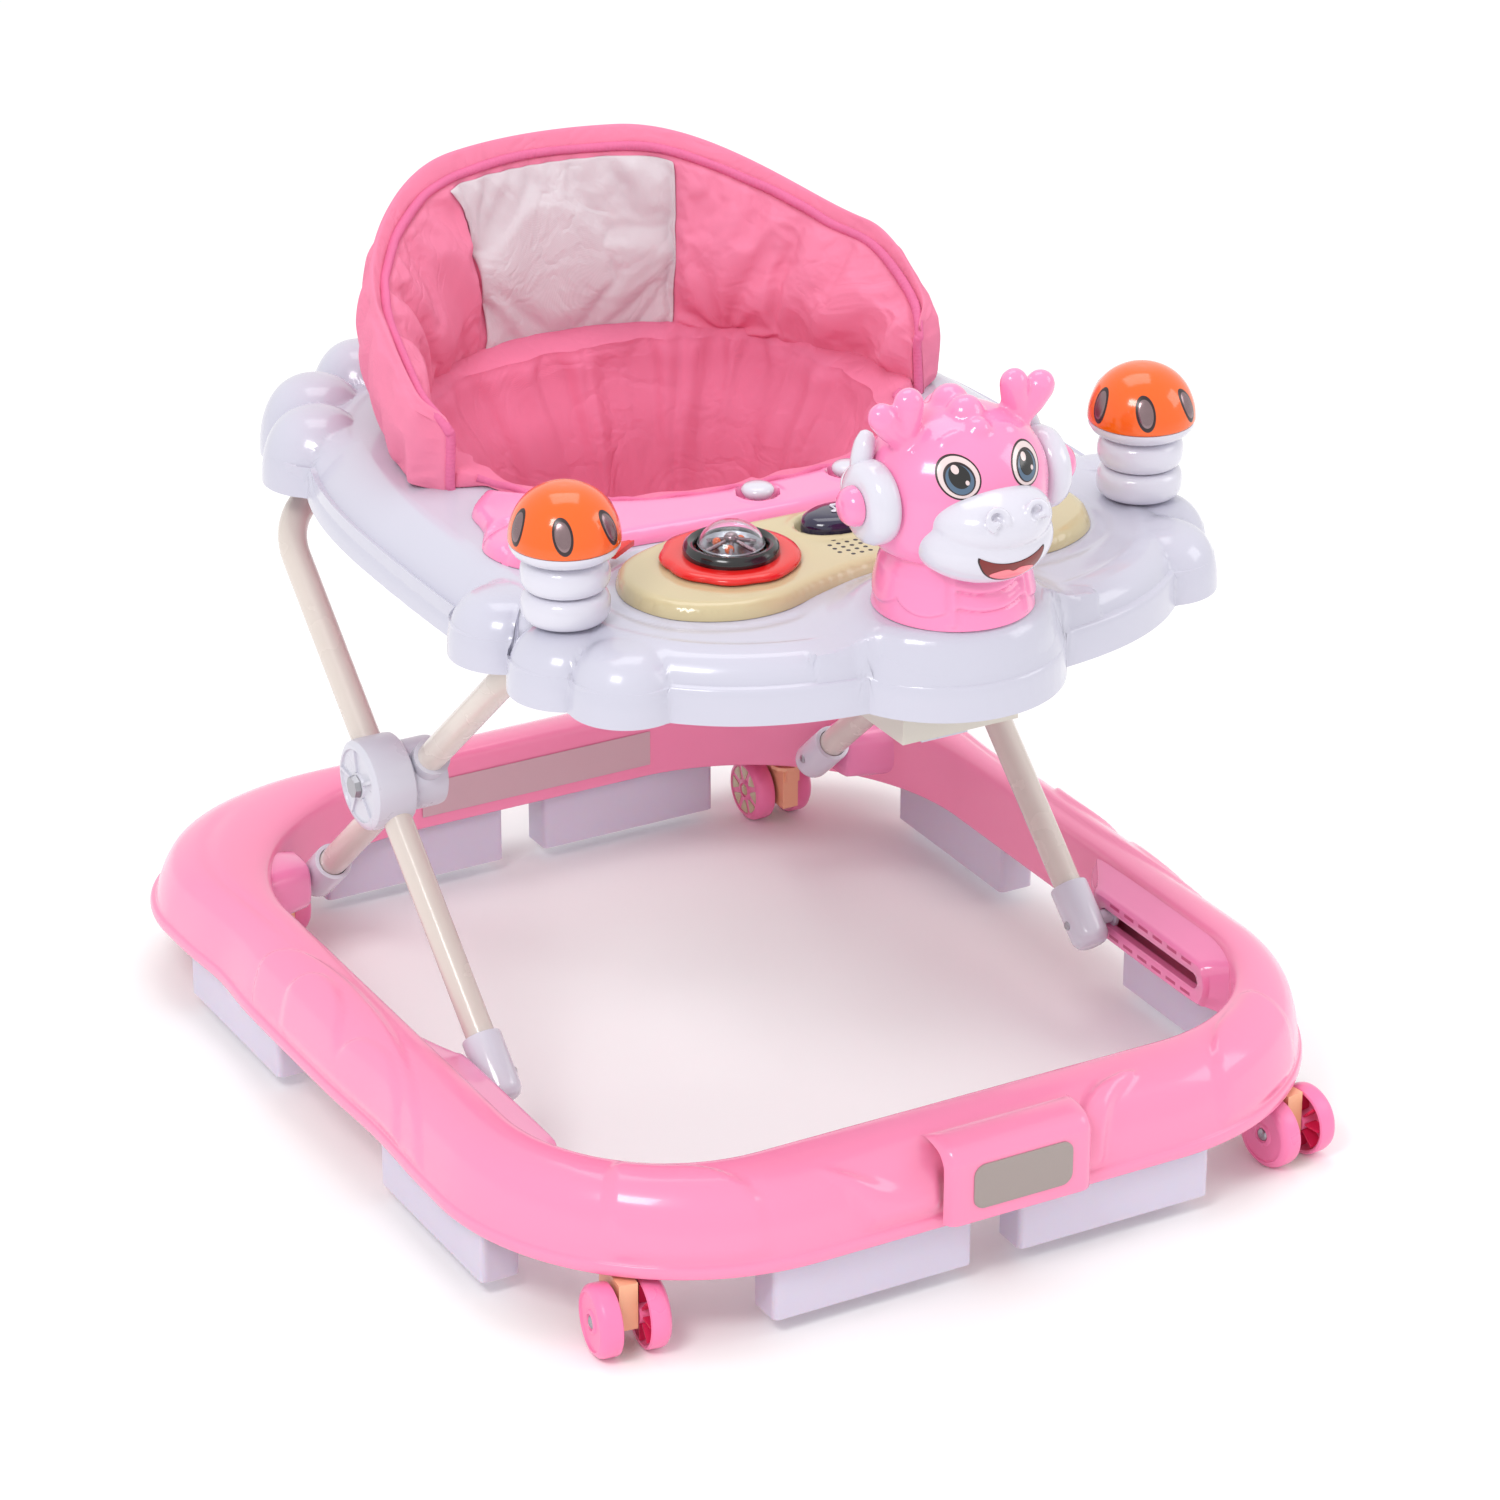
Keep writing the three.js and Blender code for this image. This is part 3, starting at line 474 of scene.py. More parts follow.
def fabric(name, colour, shadow, pale):
    """Woven cloth: fine crossed threads, soft sheen and slow colour drift."""
    look = Look(name, Roughness=0.86, Sheen_Weight=0.35, Sheen_Roughness=0.4, Specular_IOR_Level=0.25)
    look.shader.inputs["Sheen Tint"].default_value = shade(colour, 1.2)
    threads = look.math("ADD", look.wave(THREAD_SCALE, "X", 0.4), look.wave(THREAD_SCALE, "Z", 0.4))
    threads = look.math("ADD", threads, look.wave(THREAD_SCALE, "Y", 0.4))
    drift = look.remap(look.noise(14.0, 4.0, 0.6), 0.32, 0.68, 0.0, 1.0)
    tone = look.blend(drift, shade(colour, shadow), shade(colour, pale))
    fleck = look.remap(threads, 0.4, 2.4, 0.0, 1.0)
    look.colour(look.blend(fleck, shade(colour, shadow * 0.97), tone))
    wrinkle = look.math("MULTIPLY", look.noise(60.0, 3.0, 0.6, 0.8), 1.6)
    fold = look.math("ABSOLUTE", look.math("SUBTRACT", look.noise(15.0, 3.0, 0.55, 1.1), 0.5), 0.0)
    crease = look.math("MULTIPLY", look.remap(fold, 0.0, 0.09, 0.0, 1.0), 3.4)
    relief = look.math("ADD", look.math("MULTIPLY", threads, 0.2), wrinkle)
    look.bump(look.math("ADD", relief, crease), 0.4, 0.0014)
    return look.material


PINK = rgb(249, 140, 180)
WHITE = rgb(197, 196, 211)
M_BASE = plastic("pink_base", PINK, 0.2, 0.02, 0.35, 0.02)
M_PINK = plastic("pink_gloss", rgb(246, 138, 186), 0.16, 0.02, 0.5)
M_TRAY = plastic("tray_white", WHITE, 0.2, 0.025, 0.35, 0.02)
M_WHITE = plastic("white_gloss", rgb(212, 210, 222), 0.16, 0.02, 0.45)
M_HUB = plastic("hub_white", rgb(207, 206, 217), 0.3, 0.03, 0.15)
M_PAD = plastic("pad_lavender", rgb(214, 206, 224), 0.42, 0.05, 0.0, 0.06, Subsurface_Weight=0.25,
                Subsurface_Scale=0.006)
M_CREAM = plastic("cream_gloss", rgb(203, 188, 148), 0.2, 0.04, 0.35)
M_RED = plastic("red_gloss", rgb(226, 22, 20), 0.2, 0.08, 0.35)
M_BLACK = plastic("black_gloss", rgb(16, 16, 18), 0.18, 0.2, 0.5)
M_NAVY = plastic("navy_gloss", rgb(30, 22, 60), 0.14, 0.1, 0.6)
M_ORANGE = plastic("orange_gloss", rgb(240, 96, 4), 0.15, 0.06, 0.45)
M_TUBE = plastic("tube_paint", rgb(216, 205, 197), 0.24, 0.04, 0.4, 0.04)
M_WHEEL = plastic("wheel_pink", rgb(250, 128, 178), 0.32, 0.06, 0.1, 0.06)
M_WHEEL_DEEP = plastic("wheel_crimson", rgb(228, 40, 96), 0.4, 0.08, 0.1, 0.06)
M_FORK = plastic("fork_peach", rgb(250, 186, 148), 0.35, 0.05, 0.1, 0.05)
M_BADGE = plastic("badge_taupe", rgb(158, 146, 142), 0.35, 0.05, 0.1, 0.05)
M_LABEL = plastic("label_paper", rgb(206, 172, 180), 0.5, 0.03, 0.0, 0.02)
M_TRACK = plastic("track_white", rgb(214, 208, 198), 0.4, 0.03, 0.0)
# Darker pink for the rails' slits: painted shade in place of their depth.
M_SLIT_SHADE = plastic("slit_shade_pink", rgb(196, 62, 118), 0.4, 0.05, 0.1)
M_STEEL = metal("steel", rgb(176, 176, 182), 0.3)
M_SILVER = metal("sticker_silver", rgb(150, 128, 132), 0.22)
# Dark colour for printed outlines, rims and irises, and also the painted shade in the speaker holes.
M_DARK = plastic("dark_line", rgb(44, 26, 30), 0.3, 0.1, 0.1)
M_SEAT = fabric("seat_cloth", rgb(250, 142, 176), 0.88, 1.04)
# The sling's cloth is the seat's pink made a little darker: painted shade for the lower inside of the seat.
M_SEAT_SHADED = fabric("sling_cloth", rgb(244, 132, 168), 0.9, 1.03)
M_HEADREST = fabric("headrest_cloth", rgb(222, 212, 218), 0.95, 1.02)
M_BINDING = fabric("binding_cloth", rgb(238, 122, 168), 0.88, 1.05)
M_MOUTH = plastic("mouth_red", rgb(122, 12, 6), 0.35, 0.1, 0.3)
M_TONGUE = plastic("tongue_pink", rgb(244, 128, 140), 0.25, 0.05, 0.3)
M_EYE_WHITE = plastic("eye_white", rgb(226, 206, 206), 0.15, 0.03, 0.6)
M_IRIS = plastic("eye_iris", rgb(84, 112, 140), 0.15, 0.25, 0.6)


def clear_plastic():
    """The lamp domes' clear plastic."""
    look = Look("clear_dome", Transmission_Weight=1.0, IOR=1.28, Roughness=0.02, Coat_Weight=0.3)
    look.shader.inputs["Base Color"].default_value = (0.95, 0.97, 1.0, 1.0)
    look.bump(look.noise(60.0, 2.0), 0.02, 0.0004)
    return look.material


M_CLEAR = clear_plastic()


# ---------------------------------------------------------------- base

# For each end, the swivel's and the wheels' (distance out from the middle, y).
CASTERS = {"front": ((236, -274), (239, -296)), "rear": ((199, 281), (199, 303))}
REAR_PIN_Y = 225.0
BASE_RIM = dict(half=299, front=-338, rear=352, corner_front=170, corner_rear=105)
BASE_HOLE = dict(half=254, front=-283, rear=300, corner_front=110, corner_rear=165)
# The ring's section as (share of the way from the rim to the hole, z): over the top, then back underneath.
BASE_PROFILE = [(0.0, 50), (-0.02, 51), (-0.03, 54), (-0.015, 57.5), (0.02, 59), (0.035, 63), (0.06, 71),
                (0.1, 80), (0.17, 90), (0.28, 97), (0.42, 102), (0.58, 105), (0.74, 106), (0.87, 105.4),
                (0.955, 103), (0.99, 98), (1.0, 88), (1.0, 76), (1.0, 66), (1.0, 56), (0.985, 54),
                (0.95, 54),
                (0.94, 60), (0.94, 84), (0.9, 98), (0.6, 101.5), (0.35, 98.5), (0.2, 88), (0.1, 72),
                (0.06, 58),
                (0.05, 50)]
BASE_PROFILE_POINTS = 104
TOP_SHARE = 0.52
CORNER_STEPS, SIDE_STEPS, END_STEPS = 60, 210, 120


def rounded_outline(half, front, rear, corner_front, corner_rear):
    """Corners and straight runs with fixed numbers of points, so that two outlines match point by point."""
    corners = [(half - corner_front, front + corner_front, corner_front, -90),
               (half - corner_rear, rear - corner_rear, corner_rear, 0),
               (corner_rear - half, rear - corner_rear, corner_rear, 90),
               (corner_front - half, front + corner_front, corner_front, 180)]
    points = []
    for index, (x, y, radius, start) in enumerate(corners):
        for step in range(CORNER_STEPS + 1):
            angle = math.radians(start + 90 * step / CORNER_STEPS)
            points.append((x + radius * math.cos(angle), y + radius * math.sin(angle)))
        nx, ny, nr, na = corners[(index + 1) % 4]
        a = np.array(points[-1])
        b = np.array((nx + nr * math.cos(math.radians(na)), ny + nr * math.sin(math.radians(na))))
        run = SIDE_STEPS if index % 2 == 0 else END_STEPS
        points += [tuple(a + (b - a) * k / run) for k in range(1, run)]
    return np.array(points)


# Leaf-shaped steps in the skin, as (distance out from the middle, y), on both sides.
SIDE_LEAF = spline([(310, 116), (298, 110), (284, 99), (273, 74), (267, 21), (271, -41), (281, -92),
                    (294, -132), (306, -158)], 90)
SIDE_PETALS = spline([(302, 66), (290, 60), (279, 46), (277, 24), (284, -2), (293, -20), (286, -38),
                      (283, -67), (290, -98), (303, -122)], 90)
CORNER_PETAL = spline([(250, -295), (224, -262), (196, -281), (172, -306), (158, -336)], 60)


def base_relief(x, y):
    """How far the base's skin stands proud at a place in plan."""
    out = np.abs(x)
    lift = np.zeros_like(x)
    for curve, height, soft in ((SIDE_LEAF, 3.0, 2.4), (SIDE_PETALS, 3.2, 2.4)):
        ys = curve[:, 1][::-1]
        edge = np.interp(y, ys, curve[:, 0][::-1], left=400, right=400)
        ends = smooth(ys[0], ys[0] + 14, y) * smooth(ys[-1], ys[-1] - 14, y)
        lift += height * smooth(-soft, soft, out - edge) * ends
    xs = CORNER_PETAL[:, 0][::-1]
    edge = np.interp(out, xs, CORNER_PETAL[:, 1][::-1], left=-500, right=-500)
    ends = smooth(xs[0], xs[0] + 10, out) * smooth(xs[-1], xs[-1] - 10, out)
    lift += 3.2 * smooth(-2.5, 2.5, edge - y) * ends
    return lift


def feather(x, y, root, tip, width, height):
    """A raised blade that tapers from its root to its tip."""
    root, tip = np.asarray(root, float), np.asarray(tip, float)
    along = tip - root
    size = np.linalg.norm(along)
    along /= size
    s = ((x - root[0]) * along[0] + (y - root[1]) * along[1]) / size
    curve = 8 * np.sin(np.clip(s, 0, 1) * math.pi)
    across = (x - root[0]) * -along[1] + (y - root[1]) * along[0] - curve
    half = width * (1 - np.clip(s, 0, 1)) ** 0.8
    sides = smooth(half + 2.5, half - 3.5, np.abs(across))
    return height * smooth(-0.05, 0.06, s) * smooth(1.02, 0.7, s) * sides


FEATHERS = (((-46, -340), (-122, -316)), ((54, -343), (118, -312)))


def base_shell():
    outer, inner = rounded_outline(**BASE_RIM), rounded_outline(**BASE_HOLE)
    wave = 3.2 * bump(outer[:, 1], 165, 34) + 2.4 * bump(outer[:, 1], -75, 46)
    outer[:, 0] -= np.sign(outer[:, 0]) * wave * smooth(150, 280, np.abs(outer[:, 0]))
    direction = outer - inner
    direction /= np.linalg.norm(direction, axis=1)[:, None]
    profile = spline(BASE_PROFILE, BASE_PROFILE_POINTS, closed=True)
    rows = []
    for index, (part, z) in enumerate(profile):
        xy = outer + (inner - outer) * part
        lift = np.zeros(len(xy))
        if index < len(profile) * TOP_SHARE and z > 58:
            x, y = xy[:, 0], xy[:, 1]
            lift = base_relief(x, y)
            for root, tip in FEATHERS:
                lift += feather(x, y, root, tip, 10, 6.5)
            lift *= smooth(58, 66, z) * smooth(0.9, 0.66, part)
            groove = bump(part, 0.52 + 0.06 * np.sin(y / 60), 0.05)
            lift -= 1.6 * groove * smooth(215, 245, np.abs(x)) * smooth(60, 150, y)
        slope = 0.75 * max(0.0, 1 - part * 1.8)
        rows.append(np.c_[xy + direction * (lift * slope)[:, None], z + lift * (1 - slope * 0.6)])
    verts, faces = loft(rows, close_rows=True)
    piece("base_shell", verts, faces, M_BASE, "base", ["base_ring"], "pink_shell", sharp=50)


PIN_Z = 79.0
RAIL_FACE, RAIL_BACK = 234.0, 256.0
RAIL_SLOT = (-189.5, -84.5)


def rail_part(side):
    """The front pin's rail: a boss that flares into the wall, round a slot with half-round ends."""
    outline = resample(spline([(-204, 74), (-200, 66), (-188, 62.5), (-82, 62.5), (-70, 66), (-66, 74),
                               (-66, 84),
                               (-70, 91), (-82, 94.5), (-188, 94.5), (-200, 91), (-204, 84)], 72,
                              closed=True), 4)
    nearest = np.c_[np.clip(outline[:, 0], *RAIL_SLOT), np.full(len(outline), PIN_Z)]
    away = outline - nearest
    hole = nearest + away / np.linalg.norm(away, axis=1)[:, None] * 5.5
    middle = outline.mean(0)

    def between(share):
        return outline + (hole - outline) * share

    steps = [(middle + (outline - middle) * (1.45, 1.4), RAIL_BACK),
             (middle + (outline - middle) * (1.13, 1.14), RAIL_FACE + 10), (outline, RAIL_FACE + 4),
             (between(0.06), RAIL_FACE + 1.5), (between(0.2), RAIL_FACE), (between(0.9), RAIL_FACE),
             (hole, RAIL_FACE + 0.8), (hole, RAIL_FACE + 6)]
    return loft([np.c_[np.full(len(yz), side * x), yz] for yz, x in steps])


def rail_slit_shadows():
    """Rows of short dark marks above and below each rail's slot, painted shade where the slits are."""
    parts = []
    for _, side in SIDES:
        x0, x1 = sorted((side * (RAIL_FACE - 0.1), side * (RAIL_FACE + 0.4)))
        for z in (68.0, 90.5):
            for y in np.arange(-188, -86, 17.0):
                parts.append(box_part(x0, x1, y, y + 11, z - 1.1, z + 1.1))
    return merge(*parts)


PLATE_LEFT, PLATE_WIDTH = -47, 104


def front_plate():
    """The boss that carries the badge, over the crest and down to the rim."""
    profile = spline([(-350, 55), (-350.5, 60), (-350.5, 92), (-349.5, 99), (-345, 104.5), (-338, 107),
                      (-329, 108), (-322, 106.5)], 30)
    rows = []
    for u in np.linspace(0, 1, 44):
        x = PLATE_LEFT + PLATE_WIDTH * u
        drop = 7 * (1 - rounded(np.array(min(u, 1 - u) * PLATE_WIDTH), 9, 2.0))
        y = profile[:, 0] + drop
        z = profile[:, 1] - drop * 0.5 * smooth(84, 100, profile[:, 1])
        rows.append(np.c_[np.full(len(y), x), y, z])
    return np.vstack(rows), grid_faces(len(rows), len(profile), close_columns=False)


def gusset(side):
    """The rear pin's block: a soft-cornered box that widens into the wall behind it."""
    square = superellipse(1, 1, 1, 10 / 3, count=64)
    rows = []
    for x, half_y, half_z in ((208, 0, 0), (208, 14, 14), (208.8, 16, 16), (211, 17.5, 17.5), (226, 21, 19),
                              (256, 30, 20)):
        rows.append(np.c_[np.full(len(square), side * x), REAR_PIN_Y + square[:, 0] * half_y,
                          PIN_Z + square[:, 1] * half_z])
    return loft(rows, cap=True)


def base_fittings():
    """Rails, badge plate, rear pin blocks and caster posts."""
    piece("slide_rails", *merge(*(rail_part(side) for _, side in SIDES)), M_PINK, "base", slot="pink_shell")
    piece("rail_slit_shadows", *rail_slit_shadows(), M_SLIT_SHADE, "base", slot="pink_shell")
    piece("front_plate", *front_plate(), M_BASE, "base", slot="pink_shell")
    blocks = []
    for _, side in SIDES:
        blocks.append(gusset(side))
        for (x, y), _ in CASTERS.values():
            blocks.append(lathe([(0, 54), (11, 54), (11, 91), (0, 91)], 24, None, (side * x, y, 0)))
    piece("base_bosses", *merge(*blocks), M_PINK, "base", slot="pink_shell")


def badge():
    """A blank plate of rounded-rectangle outline, on the boss where the CAD badge is."""
    low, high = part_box("front_badge")
    x0, x1, z0, z1 = (v / MM for v in (low.x, high.x, low.z, high.z))
    cx, cz = (x0 + x1) / 2, (z0 + z1) / 2
    half_x, half_z = (x1 - x0) / 2, (z1 - z0) / 2
    corner = 7.5
    outline = []
    for sx, sz, start in ((1, -1, -90), (1, 1, 0), (-1, 1, 90), (-1, -1, 180)):
        for a in np.radians(start + np.linspace(0, 90, 9)):
            outline.append((sx * (half_x - corner) + corner * math.cos(a),
                            sz * (half_z - corner) + corner * math.sin(a)))
    verts, faces = slab(outline, 0, lambda x, y, d: 1.2 + 0.8 * rounded(d, 1.5), 1.5)
    front = np.c_[verts[:, 0] + cx, -350.3 - verts[:, 2], verts[:, 1] + cz]
    piece("badge_plate", front, faces, M_BADGE, "base", ["front_badge"], "badge")


def label():
    """A blank pale sticker on the inner face of the back wall."""
    verts = [(x, 299.2, z) for z in (63, 64, 88, 89) for x in np.linspace(-82, 98, 24)]
    piece("blank_label", verts, grid_faces(4, 24, close_columns=False), M_LABEL, "base", slot="badge")


# ---------------------------------------------------------------- casters and frame

WHEEL_RADIUS = 23
# Half of a wheel pair's section as (radius, distance from the middle of the axle).
WHEEL_HALF = [(3, 7), (6.5, 7), (6.5, 16), (7.5, 17.5), (18.5, 17.5), (19.6, 16), (20.2, 9.2), (21.5, 8.5),
              (22.6, 9.2), (23, 11), (23, 18), (22.4, 20.2), (20, 22.4), (18.4, 22.7), (17.8, 21.6),
              (8, 21.4),
              (7, 22.4), (5.4, 22.6), (5, 21.5), (0, 21.5)]


def wheels():
    """Each caster's two wheels on one axle, with ribs between and a rivet or a slice on the faces."""
    rib = box_part(7, 19.2, -0.7, 0.7, 8.6, 17.6)
    mirror = [(r, -h) for r, h in reversed(WHEEL_HALF)]
    for end, ((px, py), (wx, wy)) in CASTERS.items():
        for name, side in SIDES:
            turn = about("Z", math.atan2(wy - py, side * (wx - px))) @ about("X", math.pi / 2)
            centre = (side * wx, wy, WHEEL_RADIUS)
            body = f"wheels_{end}_{name}"
            shell = lathe(mirror + WHEEL_HALF, 56, turn, centre)
            piece(f"wheel_pair_{end}_{name}", *shell, M_WHEEL, body, [f"caster_wheels_{end}_{name}"],
                  "wheel")
            ribs, discs = [], []
            for face in (-1, 1):
                for angle in TAU * np.arange(8) / 8:
                    ribs.append(placed(on_face(rib, face, angle), turn, centre))
                    if end == "rear":
                        discs.append(placed(on_face(slice_wedge(), face, angle), turn, centre))
                discs.append(placed(on_face(rivet_head(), face), turn, centre))
            piece(f"wheel_ribs_{end}_{name}", *merge(*ribs), M_WHEEL_DEEP, body, slot="wheel")
            look = M_STEEL if end == "front" else M_CREAM
            piece(f"wheel_face_{end}_{name}", *merge(*discs), look, body, slot="wheel")


def on_face(part, face, angle=0.0):
    """A part spun about the axle's Z by radians, then mirrored to the face on -Z when face is -1."""
    verts, faces = placed(part, about("Z", angle))
    return verts * (1, 1, face), faces


def slice_wedge():
    """One rounded wedge of the slice pattern on a rear wheel's outer side."""
    outline = spline([(8.6, -0.9), (12.5, -3.2), (16.2, -5.0), (17.2, -3.4), (17.5, 0), (17.2, 3.4),
                      (16.2, 5.0),
                      (12.5, 3.2), (8.6, 0.9)], 28, closed=True)
    middle = outline.mean(0)
    layers = ((outline, 21.3), (outline * [1, 0.96], 21.9), (middle + (outline - middle) * 0.6, 22.1))
    return loft([np.c_[ring, np.full(len(ring), z)] for ring, z in layers], cap=True)


def rivet_head():
    """The axle's domed end."""
    return lathe([(0, 23), (2.4, 22.8), (4.1, 22), (4.4, 21.4)], 24)


# The scissor in the plane of Y and Z: each arm runs from a foot pin, through the hub, to its top cross tube.
FRONT_FOOT_Y, ARM_RUN, ARM_RISE = -85.0, 310, 280
ARM = math.hypot(ARM_RUN, ARM_RISE)
SLOPE = math.atan2(ARM_RISE, ARM_RUN)
HUB = (70.0, 219.0)
TUBE_RADIUS, TUBE_BEND = 9.5, 45.0
FRONT_LEG_X, REAR_LEG_X = 218.0, 193.5
LEGS = {"front": (FRONT_LEG_X, (FRONT_FOOT_Y, PIN_Z), (math.cos(SLOPE), math.sin(SLOPE))),
        "rear": (REAR_LEG_X, (REAR_PIN_Y, PIN_Z), (-math.cos(SLOPE), math.sin(SLOPE)))}


def leg_path(leg_x, foot, direction):
    """One leg's tube: up the left arm, round a bend, across the top and down the other arm."""
    def at(x, along):
        return (x, foot[0] + direction[0] * along, foot[1] + direction[1] * along)

    half = [at(leg_x, a) for a in np.linspace(-7, ARM - TUBE_BEND, 24)]
    for angle in np.radians(np.linspace(0, 90, 18)[1:]):
        half.append(at(leg_x - TUBE_BEND * (1 - math.cos(angle)), ARM - TUBE_BEND * (1 - math.sin(angle))))
    half += [at(x, ARM) for x in np.linspace(leg_x - TUBE_BEND, 0, 10)[1:]]
    return half + [(-x, y, z) for x, y, z in reversed(half[:-1])]


def frames():
    """The two bent tubes and their feet: a sleeve, a pin and a rivet each, and the front sliders."""
    for end, (leg_x, foot, direction) in LEGS.items():
        tube = sweep(leg_path(leg_x, foot, direction), TUBE_RADIUS, 32)
        piece(f"{end}_tube", *tube, M_TUBE, f"{end}_legs", [f"{end}_leg_frame"], "tube")
        tilt = about("X", math.atan2(-direction[0], direction[1]))
        for name, side in SIDES:
            turn, axis = sideways(side), (0, *foot)
            sleeve = lathe([(0, -17), (8.5, -17), (10.5, -16), (12.6, -12.5), (13, -10), (13, 25.5),
                            (12.6, 26.7),
                            (11.8, 27), (10, 27), (9.6, 24)], 40, tilt, (side * leg_x, *foot))
            reach = 238.6 if end == "front" else 222
            parts = [sleeve, lathe([(0, leg_x), (5, leg_x), (5, reach), (0, reach)], 24, turn, axis)]
            if end == "front":
                parts.append(lathe([(0, 238.2), (8, 238.2), (8, 240.6), (7, 241.5), (0, 241.6)], 28, turn,
                                   axis))
            piece(f"foot_sleeve_{end}_{name}", *merge(*parts), M_WHITE, f"{end}_legs",
                  [f"foot_cap_{end}_{name}"], "white_shell")
            rivet = lathe([(0, leg_x - 14.2), (2.2, leg_x - 14.0), (3.1, leg_x - 13.2), (3.2, leg_x - 12)],
                          20,
                          turn, axis)
            piece(f"foot_rivet_{end}_{name}", *rivet, M_STEEL, f"{end}_legs", slot="steel")


def collar(x, reach, rise_sign, radius):
    """A round sleeve on an arm at the hub, reaching the same way up and down the arm."""
    run, rise = reach * math.cos(SLOPE), rise_sign * reach * math.sin(SLOPE)
    return sweep([(x, HUB[0] - run, HUB[1] - rise), (x, *HUB), (x, HUB[0] + run, HUB[1] + rise)], radius, 32)


def hubs():
    """Each crossing's outer half, on the front tube, and inner half, on the rear tube."""
    outer = [(0, 206.8), (28, 206.8), (29.6, 208.2), (30, 211), (30, 230), (29.2, 233.6), (26.4, 235.6),
             (24.2, 236), (23.6, 234.6), (9.6, 234.6), (9, 236), (5.2, 236.3), (4.6, 234), (4.6, 222),
             (0, 222)]
    inner = [(0, 180.9), (20, 180.7), (22.4, 182), (23, 185), (23, 203), (22, 205.2), (0, 205.4)]
    rib = box_part(9.5, 24, -1.1, 1.1, 233.8, 236.1)
    for name, side in SIDES:
        turn, at = sideways(side), (0, *HUB)
        ribs = [placed(placed(rib, about("Z", TAU * (k + 0.15) / 5)), turn, at) for k in range(5)]
        cover = merge(lathe(outer, 64, turn, at), collar(side * FRONT_LEG_X, 27, 1, 12.6), *ribs)
        piece(f"hub_cover_{name}", *cover, M_HUB, "front_legs", [f"hub_outer_{name}"], "white_shell")
        clamp = merge(lathe(inner, 48, turn, at), collar(side * REAR_LEG_X, -31, -1, 12.2))
        piece(f"hub_clamp_{name}", *clamp, M_HUB, "rear_legs", [f"hub_inner_{name}"], "white_shell")


def carried_over():
    """CAD nodes that keep their shape and take a finish and softened edges."""
    looks = {"height_track": M_TRACK, "height_latch": M_HUB, "hub_bolt_left": M_STEEL,
             "hub_bolt_right": M_STEEL}
    for name in NODES:
        if name.startswith("brake_pad"):
            looks[name] = M_PAD
        elif name.startswith("caster_fork"):
            looks[name] = M_FORK
    for name, look in looks.items():
        node = NODES[name]
        node.data.materials.clear()
        node.data.materials.append(look)
        bevelled(node, 2.2 if name.startswith("brake_pad") else 0.9, 3)


# ---------------------------------------------------------------- camera, light and floor

# The photograph's view. Azimuth 0 looks along +Y, and the elevation is how far the camera looks down.
VIEW_AZIMUTH, VIEW_ELEVATION, VIEW_ROLL = 29.31174, 25.15803, 0.14291
VIEW_PLACE_METRES = (-1.47066, -2.64, 1.63892)
VIEW_LENS, SENSOR_WIDTH = 124.0205, 36


def camera():
    data = bpy.data.cameras.new("view")
    data.lens = VIEW_LENS
    data.sensor_width = SENSOR_WIDTH
    obj = bpy.data.objects.new("view", data)
    turn = (about("Z", math.radians(-VIEW_AZIMUTH)) @ about("X", math.radians(90 - VIEW_ELEVATION))
            @ about("Z", math.radians(VIEW_ROLL)))
    obj.matrix_world = Matrix.Translation(VIEW_PLACE_METRES) @ turn.to_4x4()
    bpy.context.scene.collection.objects.link(obj)
    bpy.context.scene.camera = obj


def area_light(name, place, target, size, watts):
    """A rectangular light aimed at a target, in metres."""
    data = bpy.data.lights.new(name, "AREA")
    data.shape = "RECTANGLE"
    data.size, data.size_y = size
    data.energy = watts
    obj = bpy.data.objects.new(name, data)
    obj.location = place
    obj.rotation_euler = (Vector(target) - Vector(place)).to_track_quat("-Z", "Y").to_euler()
    bpy.context.scene.collection.objects.link(obj)


def studio():
    """An even white world, three soft lights and a pale floor, in metres."""
    scene = bpy.context.scene
    world = bpy.data.worlds.new("studio")
    world.use_nodes = True
    background = world.node_tree.nodes["Background"]
    background.inputs["Color"].default_value = (1.0, 0.995, 0.99, 1)
    background.inputs["Strength"].default_value = 0.95
    scene.world = world
    scene.view_settings.view_transform = "Standard"
    area_light("key", (-1.7, -1.3, 2.3), (0, 0, 0.25), (0.9, 0.7), 24)
    area_light("fill", (1.9, -1.2, 1.5), (0, 0, 0.3), (1.0, 1.0), 7)
    area_light("top", (0.2, 0.5, 2.6), (0, 0, 0.3), (1.6, 1.2), 12)
    floor = bpy.data.meshes.new("floor")
    far = 12
    floor.from_pydata([(-far, -far, 0), (far, -far, 0), (far, far, 0), (-far, far, 0)], [], [(0, 1, 2, 3)])
    obj = bpy.data.objects.new("floor", floor)
    scene.collection.objects.link(obj)
    look = Look("floor_white", Roughness=0.8, Specular_IOR_Level=0.1)
    look.colour(look.blend(look.noise(3.0, 2.0), (0.97, 0.97, 0.97, 1), (0.985, 0.985, 0.985, 1)))
    obj.data.materials.append(look.material)


# ---------------------------------------------------------------- tray

TRAY_Y = 70.0
SKIRT, DECK = 375.0, 414.0
DECK_SKIN = 414.35
SEAT_Y = 103.0
